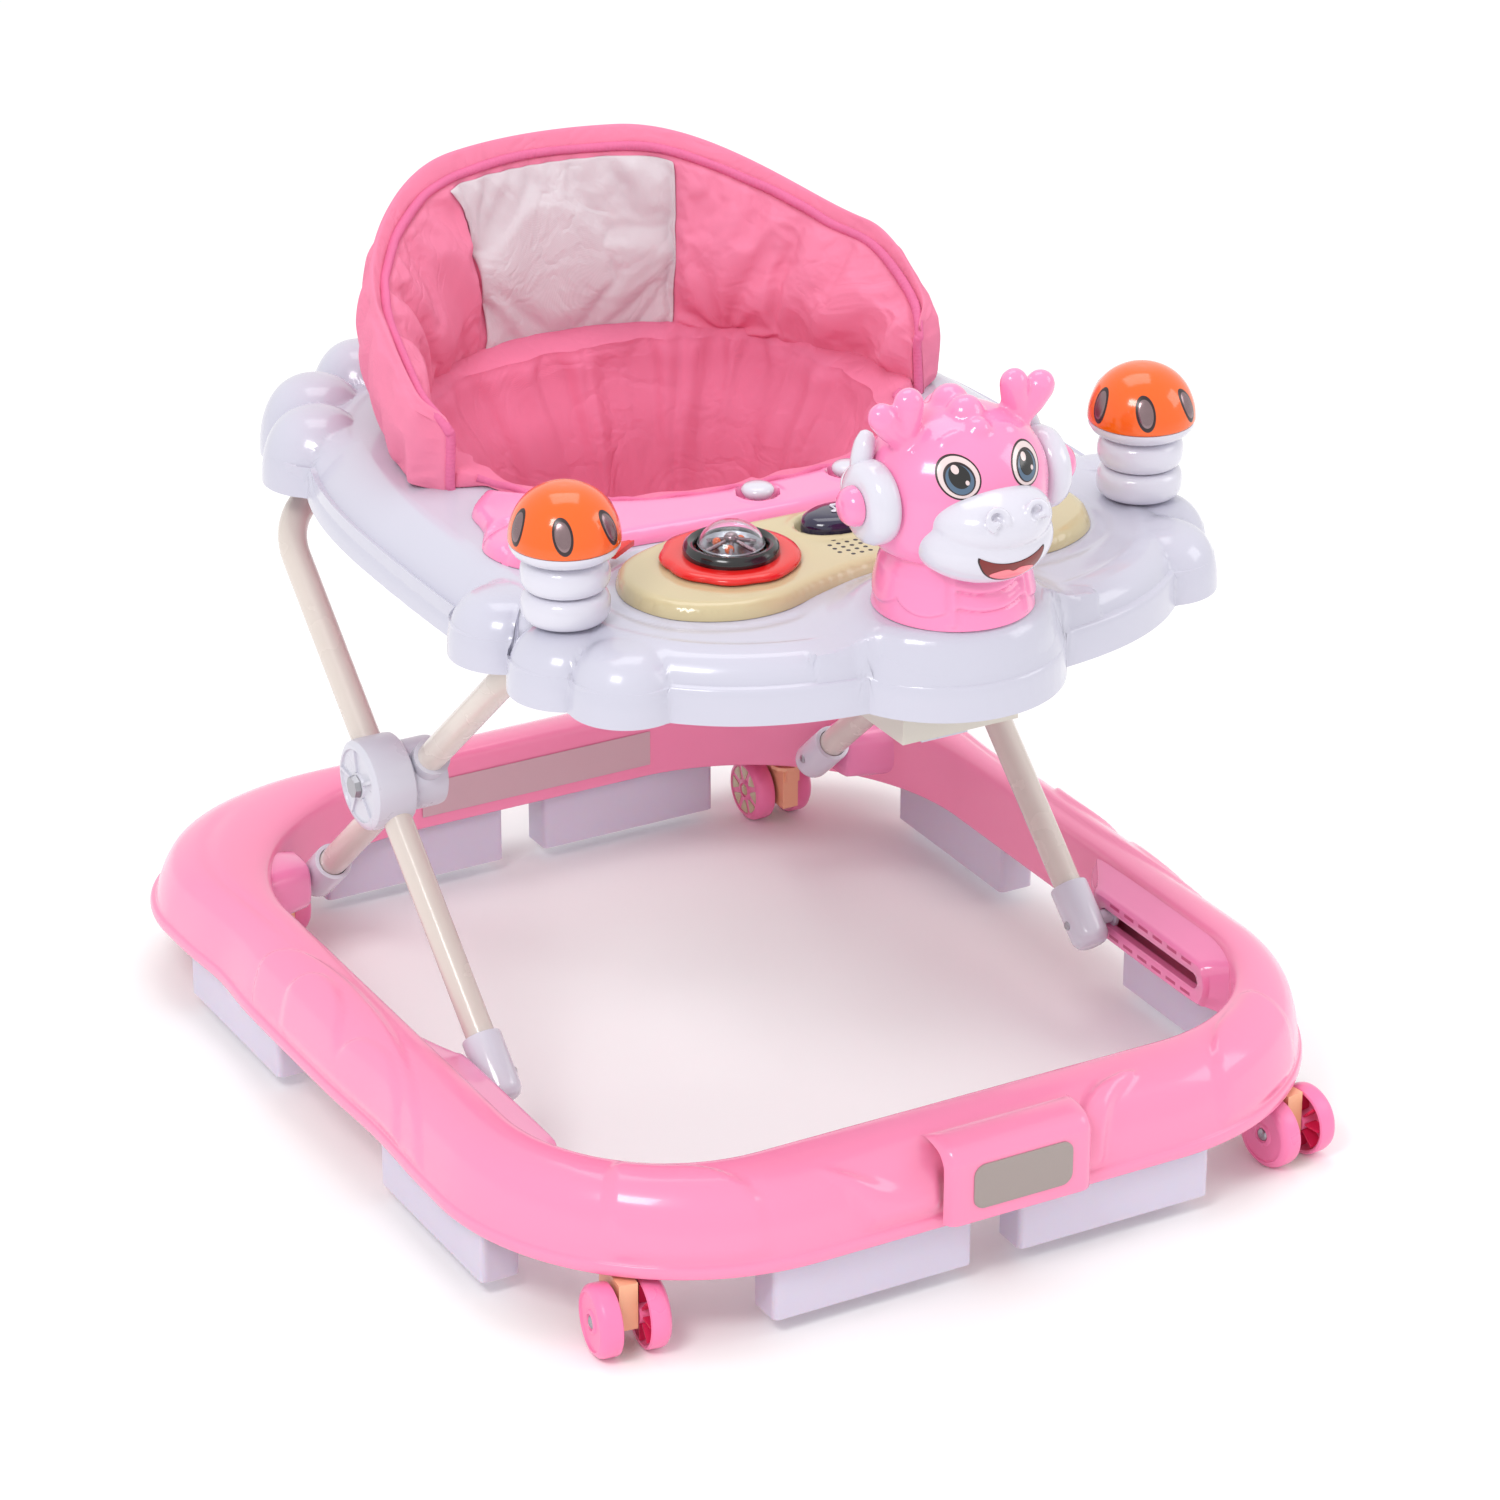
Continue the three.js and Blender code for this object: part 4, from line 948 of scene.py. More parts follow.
# Round corners as (x, y, radius) on the left, and the front bulge round the dragon's neck.
FRONT_CLOUDS = [(-212, -100, 36), (-205, -165, 36), (-187, -205, 35)]
REAR_CLOUDS = [(-195, 205, 36), (-175, 250, 37), (-126, 286, 34)]
BULGE = (0, -250, 76)
DRAGON_Y = -264.0
BOW_HALF = [(0, -93), (-60, -92), (-104, -94), (-142, -112), (-158, -148), (-148, -184), (-118, -205),
            (-84, -208), (-46, -195), (0, -186)]
MUSHROOM = (201, -156.5)
LAMP = (82, -143)
BUTTONS = {"left": (-16, -58), "right": (51, -54)}
SONG_KEY = (4, -124)
KEY_STRETCH = 1.5


def seat_hole(count=240):
    """The outline of the seat's opening in the deck."""
    return superellipse(150, 136, 136, 2.6, SEAT_Y, count)


def bow_outline():
    """The toy panel's outline."""
    mirrored = [(-x, y) for x, y in BOW_HALF[1:-1]][::-1]
    return spline(BOW_HALF + mirrored, 160, closed=True)


def clouds(half):
    """Circles on the left and their mirror images."""
    return [(side * -x, y, r) for x, y, r in half for side in (-1, 1)]


def reach_of(angle, outlines, circles, centre):
    """How far the union of outlines and circles reaches from the centre at each angle."""
    far = np.zeros_like(angle)
    direction = np.stack([np.cos(angle), np.sin(angle)], 1)
    for outline in outlines:
        rel = outline - centre
        polar = np.arctan2(rel[:, 1], rel[:, 0])
        order = np.argsort(polar)
        far = np.maximum(far, np.interp(angle, polar[order], np.hypot(*rel.T)[order], period=TAU))
    for cx, cy, r in circles:
        rel = np.array((cx, cy)) - centre
        along = direction @ rel
        gap = r * r - (rel @ rel - along ** 2)
        far = np.maximum(far, np.where(gap > 0, along + np.sqrt(np.maximum(gap, 0)), 0))
    return far


def dome(x, y, circle, rise, flat, roundness):
    """A round-shouldered dome on a circle, or 0 outside it."""
    cx, cy, r = circle
    q = np.clip(np.hypot(x - cx, y - cy) / r, 0, 1)
    return np.where(q < 1, 377 + rise * (1 - q ** flat) ** (1 / roundness), 0)


def tray_height(x, y, body, bow, outer_depth):
    """The deck's height: walls, ledge and deck, the clouds, the dragon's mound and the panel's groove."""
    depth = edge_distance(x, y, body) * np.where(inside(x, y, body), 1, -1)
    front = np.interp(depth, [0, 1, 2, 5, 7, 11, 16, 24, 28, 31],
                      [376, 395, 397, 398.2, 404.5, 409.5, 412.8, 414.6, 414.9, 414])
    sloping = 379 + 35 * rounded(np.clip(depth, 0, 40), 37, 1.55)
    side = smooth(168, 190, np.abs(x)) * smooth(-98, -70, y) * smooth(182, 158, y)
    z = np.where(depth > 0, front + (sloping - front) * side, SKIRT)
    for circle in clouds(FRONT_CLOUDS):
        z = np.maximum(z, dome(x, y, circle, 37.6, 3.2, 2.2))
    for k, circle in enumerate(clouds(REAR_CLOUDS)):
        z = np.maximum(z, dome(x, y, circle, 46 + 3 * (k // 2), 2.6, 2.1))
    rho = np.hypot(x, y - DRAGON_Y)
    mound = np.interp(rho, [53, 57, 62, 68, 75, 82, 90, 98],
                      [426, 425.4, 423.2, 419.8, 416.6, 415, 414.2, 413])
    wall = np.interp(outer_depth, [0, 1, 2, 4.5, 6, 8, 11, 16], [376, 394, 396.5, 398, 408, 416, 422, 426])
    z = np.where((rho < 98) & (z < mound), np.minimum(mound, np.maximum(wall, z)), z)
    near = edge_distance(x, y, bow) * np.where(inside(x, y, bow), -1, 1)
    groove = bump(near, 9, 2.6) * smooth(14, 26, depth) * smooth(80, 98, rho)
    return z - 1.3 * groove


# How far in from the tray's edge the closely spaced rows lie, where its walls are.
WALL_STEPS = [0, 0.4, 0.9, 1.5, 2.2, 3.0, 4.0, 5.0, 6.2, 7.5, 9.0, 10.5, 12, 14, 16, 18, 20, 22, 24, 26, 28,
              30, 32]
DECK_ROWS = 61


def tray_shell():
    """The tray's skin, as rays from its middle: in from the rim to the seat, and back underneath."""
    body, bow = superellipse(235, 286, 290, 3), bow_outline()
    centre = np.array((0.0, TRAY_Y))
    angle = np.arange(960) * TAU / 960 - math.pi
    circles = clouds(FRONT_CLOUDS) + clouds(REAR_CLOUDS) + [BULGE]
    far = reach_of(angle, [body], circles, centre)
    near = reach_of(angle, [seat_hole()], [], centre)
    direction = np.stack([np.cos(angle), np.sin(angle)], 1)
    edge = centre + direction * far[:, None]

    def level(reach, z):
        return np.c_[centre + direction * reach[:, None], np.full(len(angle), z)]

    def skin(reach, outer_depth=None):
        xy = centre + direction * reach[:, None]
        if outer_depth is None:
            outer_depth = edge_distance(xy[:, 0], xy[:, 1], edge[::4])
        return np.c_[xy, tray_height(xy[:, 0], xy[:, 1], body, bow, outer_depth)]

    rows = [level(far, SKIRT), skin(far, np.zeros(len(angle)))]
    rows += [skin(np.maximum(far - step, near + 2 * (1 - step / 33))) for step in WALL_STEPS[1:]]
    start = np.maximum(far - WALL_STEPS[-1], near + 0.1)
    rows += [skin(start + (near - start) * share) for share in np.linspace(0, 1, DECK_ROWS + 1)[1:]]
    for inset, z in ((1.2, DECK - 1.5), (1.6, DECK - 4), (1.6, DECK - 9), (-1.2, DECK - 9)):
        rows.append(level(near - inset, z))
    for inset, drop in ((45, 3.2), (24, 4.0), (10, 5.0)):
        row = skin(np.maximum(far - inset, near + 1.5), np.full(len(angle), float(inset)))
        row[:, 2] = np.minimum(DECK - 3.2, row[:, 2] - drop)
        rows.append(row)
    rows += [level(far - 2.6, 396.0), level(far - 2.2, SKIRT)]
    verts, faces = loft(rows, close_rows=True)
    piece("tray_moulding", verts, faces, M_TRAY, "tray", ["tray_shell"], "white_shell", sharp=42)


def tray_fittings():
    """The clips that hold the front tube under the tray, and the mushrooms' posts."""
    parts = []
    clip = [(9.9, 141), (14, 141), (14, 160), (9.9, 160), (9.9, 141)]
    for _, side in SIDES:
        parts.append(lathe(clip, 40, sideways(side), (0, REAR_PIN_Y, PIN_Z + ARM_RISE)))
        x0, x1 = sorted((side * 143, side * 158))
        parts.append(box_part(x0, x1, REAR_PIN_Y - 13.5, REAR_PIN_Y + 13.5, 371, 411))
        parts.append(lathe([(0, 405), (9, 405), (9, 466), (7.5, 468), (0, 468)], 28, None,
                           (side * MUSHROOM[0], MUSHROOM[1], 0)))
    obj = piece("tray_clips", *merge(*parts), M_TRAY, "tray", slot="white_shell")
    bevelled(obj, 0.8)


def toy_panel():
    """The cream panel, flat under the lamps and with a well for the key, and flat dark discs where its
    speaker holes are, painted as the holes' shade.
    """
    def top(x, y, d):
        z = 415.4 + 8.6 * rounded(d, 9, 2.1)
        for _, side in SIDES:
            flat = smooth(52, 45, np.hypot(x - side * LAMP[0], y - LAMP[1]))
            z = z * (1 - flat) + 423.6 * flat
        key = np.hypot((x - SONG_KEY[0]) / KEY_STRETCH, y - SONG_KEY[1])
        return z - 5.5 * smooth(19.3, 18.2, key) + 0.9 * bump(key, 22, 2)

    verts, faces = slab(bow_outline(), DECK_SKIN, top, 2.2)
    piece("bow_panel", verts, faces, M_CREAM, "tray", ["toy_panel"], "cream", sharp=50)
    # Flat dark discs stand in for the speaker holes: painted shade.
    hole_shadows = []
    for row in range(-2, 3):
        for col in range(-2, 3):
            if abs(row) + abs(col) < 4:
                hole_shadows.append(lathe([(0, 423.2), (1.5, 423.2), (1.5, 424.02), (0, 424.02)], 14, None,
                                  (-8 + col * 6.0, -160 + row * 6.0, 0)))
    piece("speaker_hole_shadows", *merge(*hole_shadows), M_DARK, "tray", slot="cream")


def arm_band():
    """The pink band in front of the seat: creases between its fingers, and wells for the buttons."""
    outer = [(0, -87), (-60, -83), (-122, -78), (-165, -86), (-190, -76), (-198, -44), (-184, -14),
             (-178, 14),
             (-158, 36)]
    creases = (((196, -66), (168, -40)), ((200, -36), (170, -22)))
    centre = np.array((0.0, TRAY_Y))
    angles = np.linspace(math.pi * 1.13, math.pi * 1.5, 18)
    reach = reach_of(angles - TAU, [seat_hole(360)], [], centre) + 5
    inner = centre + np.c_[np.cos(angles), np.sin(angles)] * reach[:, None]
    half = np.vstack([spline(outer, 60), inner])
    mirrored = half[::-1] * (-1, 1)
    ring = np.vstack([half, mirrored[np.abs(mirrored[:, 0]) > 0.5]])

    def top(x, y, d):
        z = 415.2 + 7.8 * rounded(d, 10, 2.0)
        for _, side in SIDES:
            for (ax, ay), (bx, by) in creases:
                dx, dy = bx - ax, by - ay
                t = np.clip(((side * x - ax) * dx + (y - ay) * dy) / (dx ** 2 + dy ** 2), 0, 1)
                z = z - 3.2 * bump(np.hypot(side * x - ax - t * dx, y - ay - t * dy), 0, 2.6)
        for cx, cy in BUTTONS.values():
            rho = np.hypot(x - cx, y - cy)
            z = z - 7.2 * smooth(13.2, 12.2, rho) + 0.8 * bump(rho, 15.2, 1.6)
        return z

    verts, faces = slab(ring, DECK_SKIN, top, 2.2)
    piece("band_plate", verts, faces, M_PINK, "tray", ["arm_band"], "pink_shell", sharp=50)


def keys():
    """The band's two buttons and the oval key, which carries a plain note sign."""
    for name, (x, y) in BUTTONS.items():
        button = lathe([(0, 421), (7.8, 421), (8.8, 421.8), (10.4, 424.6), (10.1, 426.6), (8.4, 428.2),
                        (5, 428.9),
                        (0, 429)], 44, None, (x, y, 0))
        piece(f"button_{name}", *button, M_WHITE, f"band_button_{name}", [f"band_button_{name}"],
              "white_shell")
    verts, faces = lathe([(0, 418.5), (16.9, 418.5), (17, 420), (17, 426), (16.2, 429.2), (13.6, 431.4),
                          (9, 432.3),
                          (0, 432.5)], 64)
    piece("song_key", verts * (KEY_STRETCH, 1, 1) + (*SONG_KEY, 0), faces, M_NAVY, "music_key",
          ["music_key"], "navy")
    head = (2.4, 1.8, 0.6)
    note = merge(sweep([(1, -126, 432.9), (1, -118, 432.9)], 0.7, 8),
                 ball((-0.8, -126.4, 432.8), head, 12, 8),
                 sweep([(9, -127.5, 432.8), (9, -119.5, 432.8)], 0.7, 8),
                 ball((7.2, -128, 432.7), head, 12, 8),
                 sweep([(1, -118.2, 432.9), (9, -119.6, 432.8)], 1.0, 8))
    piece("song_key_note", *note, M_WHITE, "music_key", slot="navy")


def lamps():
    """Each lamp: scalloped disc, bezel, clear dome, mirror cup, beads and star, and its wedge."""
    for name, side in SIDES:
        at = (side * LAMP[0], LAMP[1], 0)
        rows = []
        angle = np.arange(96) * TAU / 96
        away = angle if side > 0 else np.pi - angle
        scallop = 1.6 * np.abs(np.sin(away * 4.5)) * smooth(-0.4, 0.3, np.cos(away + 0.35))
        for r, z, share in ((20.3, 424.4, 0), (42, 424.4, 1), (43, 425, 1), (43.3, 426.4, 1), (42, 428.2, 1),
                            (38, 429, 0.6), (31, 428.6, 0), (20.3, 428.2, 0)):
            reach = r + (scallop - 1.0) * share
            rows.append(np.c_[reach * np.cos(angle) + at[0], reach * np.sin(angle) + at[1],
                              np.full(len(angle), z)])
        verts, faces = loft(rows, close_rows=True)
        piece(f"lamp_petals_{name}", verts, faces, M_RED, "tray", [f"lamp_disc_{name}"], "red", sharp=50)
        bezel = lathe([(22, 428.6), (29.3, 428.6), (29.5, 431), (28.6, 434), (26.4, 435.6), (24, 435.2),
                       (22.4, 433.4), (22, 431), (22, 428.6)], 64, None, at)
        piece(f"lamp_ring_{name}", *bezel, M_BLACK, "tray", [f"lamp_bezel_{name}"], "black")
        t = np.linspace(0, math.pi / 2, 16)
        out = [(21.4 * math.cos(a), 429 + 19.6 * math.sin(a)) for a in t]
        back = [(19.9 * math.cos(a), 429 + 18.1 * math.sin(a)) for a in t[::-1]]
        piece(f"lamp_cover_{name}", *lathe(out + back + [out[0]], 64, None, at), M_CLEAR, "tray",
              [f"lamp_dome_{name}"], "clear")
        cup = lathe([(0, 429.4), (8, 429.8), (15, 431.4), (19, 434.4), (19.5, 433.6), (16, 430.2),
                     (0, 428.8)],
                    48, None, at)
        piece(f"lamp_mirror_{name}", *cup, M_STEEL, "tray", slot="steel")
        beads = [ball((at[0] + 9 * math.cos(a), at[1] + 9 * math.sin(a), 433.4), (3, 3, 3), 16, 10)
                 for a in (0.4, 2.3, 4.1)]
        piece(f"lamp_beads_{name}", *merge(*beads), M_ORANGE, "tray", slot="orange")
        spokes = [sweep([(at[0], at[1], 437), (at[0] + 17 * math.cos(a), at[1] + 17 * math.sin(a), 432)],
                        1.4, 10)
                  for a in np.arange(6) * TAU / 6]
        hub = ball((at[0], at[1], 437.5), (4.5, 4.5, 3.5), 20, 12)
        piece(f"lamp_star_{name}", *merge(*spokes, hub), M_SILVER, "tray", slot="steel")
        wedge = slab([(side * 120, -90.5), (side * 134, -88), (side * 150, -95), (side * 140, -104)], 421,
                     lambda x, y, d: 424.5 + 1.2 * rounded(d, 3), 1.5)
        piece(f"red_wedge_{name}", *wedge, M_RED, "tray", slot="red")


def mushrooms():
    """Each mushroom: two rings, and a turning top with a white rim, a hat and stickers."""
    section = superellipse(8.6, 9.8, 9.8, 2.6, count=40)
    section = np.vstack([section, section[:1]])
    for name, side in SIDES:
        at = (side * MUSHROOM[0], MUSHROOM[1], 0)
        top = f"mushroom_top_{name}"
        for level, z in (("lower", 425.4), ("upper", 445.4)):
            body = f"mushroom_ring_{level}_{name}"
            ring = lathe(section + (18.2, z), 64, None, at)
            piece(f"ring_{level}_{name}", *ring, M_WHITE, body, [body], "white_shell")
        rim = lathe([(0, 456), (10, 455.8), (20, 455.8), (26.8, 457), (31, 459.8), (33, 463.2), (33, 465.4),
                     (0, 465.4)], 64, None, at)
        piece(f"mushroom_dish_{name}", *rim, M_WHITE, top, [f"mushroom_rim_{name}"], "white_shell")
        hat = spline([(33.6, 466.6), (33.6, 469), (33, 474), (31.2, 480), (28.2, 486.2), (23.8, 491.8),
                      (18.2, 496.2), (11.6, 499.3), (5, 500.5), (0, 500.6)], 40)
        hat[:, 0] = np.maximum(hat[:, 0], 0)
        shell = lathe(np.vstack([[(0, 465.8), (33, 465.8)], hat]), 72, None, at)
        piece(f"mushroom_hat_{name}", *shell, M_ORANGE, top, [f"mushroom_cap_{name}"], "orange")
        bearings = np.radians(-119 + 60 * np.arange(6))
        for part, grow, lift, look, slot in (("spots", 1.0, 0.45, M_SILVER, "steel"),
                                             ("spot_rims", 1.22, 0.22, M_DARK, "black")):
            ovals = [sticker(hat, turn, 480, 5.0 * grow, 9.6 * grow, lift, at) for turn in bearings]
            piece(f"mushroom_{part}_{name}", *merge(*ovals), look, top, slot=slot, weld=False)


def sticker(profile, turn, height, half_width, half_height, lift, at, rings=7):
    """An oval laid on a turned surface, leaning a little."""
    length = np.r_[0, np.cumsum(np.hypot(*np.diff(profile, axis=0).T))]
    middle = np.interp(height, profile[:, 1], length)
    verts = []
    a = np.arange(36) * TAU / 36
    lean = math.radians(10)
    for k in range(rings):
        q = k / (rings - 1)
        u, v = q * half_width * np.cos(a), q * half_height * np.sin(a)
        u, v = u * math.cos(lean) - v * math.sin(lean), u * math.sin(lean) + v * math.cos(lean)
        s = middle + v
        r = np.interp(s, length, profile[:, 0])
        z = np.interp(s, length, profile[:, 1])
        dr = np.interp(s + 1, length, profile[:, 0]) - np.interp(s - 1, length, profile[:, 0])
        dz = np.interp(s + 1, length, profile[:, 1]) - np.interp(s - 1, length, profile[:, 1])
        size = np.hypot(dr, dz) + 1e-9
        raise_by = lift * (1 if k < rings - 1 else 0.2)
        r, z = r + raise_by * dz / size, z - raise_by * dr / size
        verts.append(np.c_[at[0] + r * np.cos(turn + u / r), at[1] + r * np.sin(turn + u / r), z + at[2]])
    return loft(verts)


# ---------------------------------------------------------------- seat

# Round the seat, 0 is straight back and positive is to the right.
SEAT_BACK_Y, SEAT_BACK_HALF = 105.0, 105.0
SEAM_ANGLES = (-21.0, 33.0)
TUCK_ANGLE, TUCK_SLANT = 61, 8
GATHER_ANGLE = 47
HEM_Z = 415.0
INNER_END, RIM_START, RIM_END, OUTER_START = 0.43, 0.44, 0.54, 0.555


def seat_top(angle):
    """The seat back's height at an angle round the seat."""
    a = np.abs(angle)
    return 556 - 46 * smooth(20, 80, a) - 62 * smooth(78, 117, a)


def seat_section(angle, t):
    """Points (radius, z) of the section: t runs 0 to 1 up the inner face, over the rim and down."""
    top = float(seat_top(angle))
    middle = (414.5 + top) / 2
    path = spline([(153.5, 415.2), (157, middle - 24), (163, middle + 8), (172.5, top - 16), (178, top - 4),
                   (180.5, top - 1.5), (182.8, top - 9), (183, middle + 18), (178, middle - 24),
                   (170, 415.2)], 400)
    length = np.r_[0, np.cumsum(np.hypot(*np.diff(path, axis=0).T))]
    return np.stack([np.interp(t * length[-1], length, path[:, k]) for k in (0, 1)], axis=1)


def splay(angle):
    """How far the seat back's front ends spread outwards over the deck."""
    return 19 * smooth(66, 104, np.abs(angle))


def seat_folds(a, v):
    """How far the inner face stands in, at an angle a and a height v from 0 at the deck to 1 at the rim."""
    belly = np.sin(math.pi * np.clip(v, 0, 1)) ** 0.7
    left = 8 * belly * (1 - smooth(-24, -19, a))
    middle = 3.5 * belly * smooth(-23, -18, a) * (1 - smooth(31, 36, a))
    right = (13 * belly + 5 * bump(v, 0.3, 0.2)) * smooth(31, 37, a)
    lift = left + middle + right
    lift -= 6.5 * bump(a, TUCK_ANGLE + 4 * v, 2.6) * smooth(0.1, 0.3, v) * smooth(1.0, 0.5, v)
    lift -= 4.5 * bump(a, GATHER_ANGLE + 9 * v, 2.4) * smooth(0.55, 0.75, v)
    lift += 2.0 * np.sin(a * 0.9 + 3 * np.sin(a * 0.13)) * smooth(0.72, 0.97, v)
    across, up = (a - GATHER_ANGLE) * 2.7, (v - 0.03) * 130
    rho, phi = np.hypot(across, up), np.arctan2(up, across)
    lift += 4.2 * np.sin(phi * 9 + 0.8 * np.sin(phi * 4)) * np.exp(-rho / 34) * smooth(2, 10, rho)
    lift -= 5 * np.exp(-(rho / 9) ** 2)
    slant = a * 0.16 + v * 4.4
    lift += 2.6 * np.sin(slant * 2.2 + 1.1 * np.sin(a * 0.11)) * (1 - smooth(-30, -22, a)) * belly
    lift += 2.2 * np.sin(a * 0.34 - v * 5.2 + 0.7) * smooth(36, 50, a) * belly
    return lift


def puffed(obj, pinned, pressure, cap, frames=20):
    """Cloth inflated between its pinned seams, then kept as a mesh. Points move at most cap millimetres."""
    start = points_of(obj.data)
    group = obj.vertex_groups.new(name="seams")
    for weight in np.unique(np.round(pinned, 2)):
        if weight > 0:
            group.add(np.nonzero(np.round(pinned, 2) == weight)[0].tolist(), float(weight), "REPLACE")
    mod = obj.modifiers.new("cloth", "CLOTH")
    cloth = mod.settings
    cloth.quality = 6
    cloth.mass = 0.25
    cloth.tension_stiffness = cloth.compression_stiffness = 12
    cloth.shear_stiffness = 6
    cloth.bending_stiffness = 0.25
    cloth.use_pressure = True
    cloth.uniform_pressure_force = pressure
    cloth.shrink_min = -0.05
    cloth.effector_weights.gravity = 0
    cloth.vertex_group_mass = "seams"
    mod.collision_settings.use_collision = False
    mod.point_cache.frame_start, mod.point_cache.frame_end = 1, frames
    scene = bpy.context.scene
    for frame_number in range(1, frames + 1):
        scene.frame_set(frame_number)
    applied(obj)
    scene.frame_set(1)
    moved = points_of(obj.data) - start
    size = np.linalg.norm(moved, axis=1)[:, None]
    moved *= np.minimum(1, cap / np.maximum(size, 1e-6))
    set_points(obj.data, start + moved)


SEAT_COLUMNS, INNER_ROWS, RIM_ROWS, OUTER_ROWS = 171, 44, 8, 38
SEAT_ROWS = INNER_ROWS + RIM_ROWS + OUTER_ROWS
NO_SHARP_EDGES = 180


def seat_grid(angles, ts):
    """The seat back's points before the simulation: one column for each angle, one row for each t."""
    grid = np.zeros((SEAT_ROWS, SEAT_COLUMNS, 3))
    outer = np.arange(SEAT_ROWS) >= INNER_ROWS + RIM_ROWS
    for c, angle in enumerate(angles):
        section = seat_section(angle, ts)
        height = np.clip((section[:, 1] - HEM_Z) / (seat_top(angle) - HEM_Z), 0, 1)
        ends = smooth(SEAT_BACK_HALF, 99, abs(angle))
        lift = np.zeros(SEAT_ROWS)
        lift[:INNER_ROWS] = seat_folds(np.full(INNER_ROWS, angle), height[:INNER_ROWS]) * ends
        swell = np.where(outer, 2.0 * np.sin(math.pi * height) ** 0.6, 0) * ends
        swell += np.where(outer, 1.0 * np.sin(angle * 0.55 + 6 * height) * np.sin(math.pi * height),
                          0) * ends
        middle = 0.5 * (section[:INNER_ROWS, 0].mean() + section[-OUTER_ROWS:, 0].mean())
        radius = section[:, 0] - lift + swell + splay(angle) * (1 - 0.72 * height)
        radius = radius + (middle - radius) * (1 - ends) * 2 / 3
        a = math.radians(angle)
        grid[:, c] = np.c_[radius * math.sin(a), SEAT_BACK_Y + radius * math.cos(a), section[:, 1]]
    return grid


def seat_pins(angles, ts):
    """How firmly each point of the seat back is held in the simulation: hem, rim, ends, seams and tuck."""
    a, t = np.meshgrid(angles, ts)
    pinned = np.zeros((SEAT_ROWS, SEAT_COLUMNS))
    pinned[:2] = pinned[-2:] = 1
    pinned[INNER_ROWS - 1:INNER_ROWS + RIM_ROWS] = 1
    pinned[:, :2] = pinned[:, -2:] = 1
    inner = t < INNER_END
    for seam in SEAM_ANGLES:
        pinned[inner & (np.abs(a - seam) < 0.8)] = 1
    tuck = inner & (np.abs(a - TUCK_ANGLE - TUCK_SLANT * t) < 0.7) & (t > 0.1) & (t < 0.3)
    pinned[tuck] = np.maximum(pinned[tuck], 0.9)
    return pinned.ravel()


def seat_back():
    """The padded fabric back, with its two end faces, simulated and then finished."""
    angles = np.linspace(-SEAT_BACK_HALF, SEAT_BACK_HALF, SEAT_COLUMNS)
    ts = np.r_[np.linspace(0, INNER_END, INNER_ROWS), np.linspace(RIM_START, RIM_END, RIM_ROWS),
               np.linspace(OUTER_START, 1, OUTER_ROWS)]
    faces = grid_faces(SEAT_ROWS, SEAT_COLUMNS, close_rows=True, close_columns=False)
    for c in (0, SEAT_COLUMNS - 1):
        for r in range(SEAT_ROWS // 2 - 1):
            faces.append(tuple(row * SEAT_COLUMNS + c
                               for row in (r, r + 1, SEAT_ROWS - 2 - r, SEAT_ROWS - 1 - r)))
    verts = seat_grid(angles, ts).reshape(-1, 3)
    obj = piece("seat_back_pad", verts, faces, M_SEAT, "", sharp=NO_SHARP_EDGES, weld=False)
    puffed(obj, seat_pins(angles, ts), 4.0, 6.5)
    skin = points_of(obj.data).reshape(SEAT_ROWS, SEAT_COLUMNS, 3)
    subdivided(obj)
    dress(obj, M_SEAT, "tray", ["seat_back"], "fabric", NO_SHARP_EDGES)
    headrest(skin[:INNER_ROWS], angles)
    seat_binding(skin)


def headrest(inner, angles):
    """The white panel sewn on the inner face, gathered a little under the rim."""
    rows, columns = 40, 56
    verts = []
    for r in range(rows):
        v = r / (rows - 1)
        row = np.interp(v, [0, 1], [0.6, len(inner) - 1.2])
        left = -20.5 - 5.5 * v ** 3 + 2.2 * math.sin(math.pi * v)
        right = 32.6 + 0.6 * math.sin(3 * v)
        for c in range(columns):
            u = c / (columns - 1)
            col = np.interp(left + (right - left) * u, angles, np.arange(len(angles)))
            low = row + (0.9 * math.sin(u * 9) * (1 - v) if v < 0.3 else 0)
            low = min(max(low, 0), len(inner) - 1.001)
            r0, c0 = int(low), int(col)
            fr, fc = low - r0, col - c0
            p = ((inner[r0, c0] * (1 - fc) + inner[r0, c0 + 1] * fc) * (1 - fr)
                 + (inner[r0 + 1, c0] * (1 - fc) + inner[r0 + 1, c0 + 1] * fc) * fr)
            inward = np.array((-p[0], SEAT_BACK_Y - p[1], 0))
            inward /= np.linalg.norm(inward)
            gather = 1.5 * math.sin(u * 46 + 2 * math.sin(u * 9)) * float(smooth(0.72, 0.96, v))
            fold = 0.9 * math.sin(u * 13 + v * 3.2) + 0.7 * math.sin(u * 21 - v * 4)
            edge = min(u, 1 - u, v * 0.9, (1 - v) * 1.4)
            verts.append(p + inward * (1.5 + (gather + fold + 1.2) * float(smooth(0, 0.1, edge))))
    faces = grid_faces(rows, columns, close_columns=False)
    obj = thickened(piece("headrest_panel", verts, faces, M_HEADREST, "", sharp=NO_SHARP_EDGES), 1.4, 0)
    subdivided(obj)
    dress(obj, M_HEADREST, "tray", (), "fabric", NO_SHARP_EDGES)


TAPE_STEP, THREAD_PITCH = 0.75, 2.6


def overlock(name, path, radius):
    """A sewn edge tape: a tube with shallow ridges of thread across it."""
    path = resample(path, TAPE_STEP, closed=False)
    along = np.arange(len(path)) * TAPE_STEP
    wobble = 1 + 0.05 * np.sin(along * TAU / THREAD_PITCH) + 0.05 * np.sin(along / 17)
    piece(name, *sweep(path, radius * wobble, 14), M_BINDING, "tray", (), "fabric", NO_SHARP_EDGES)


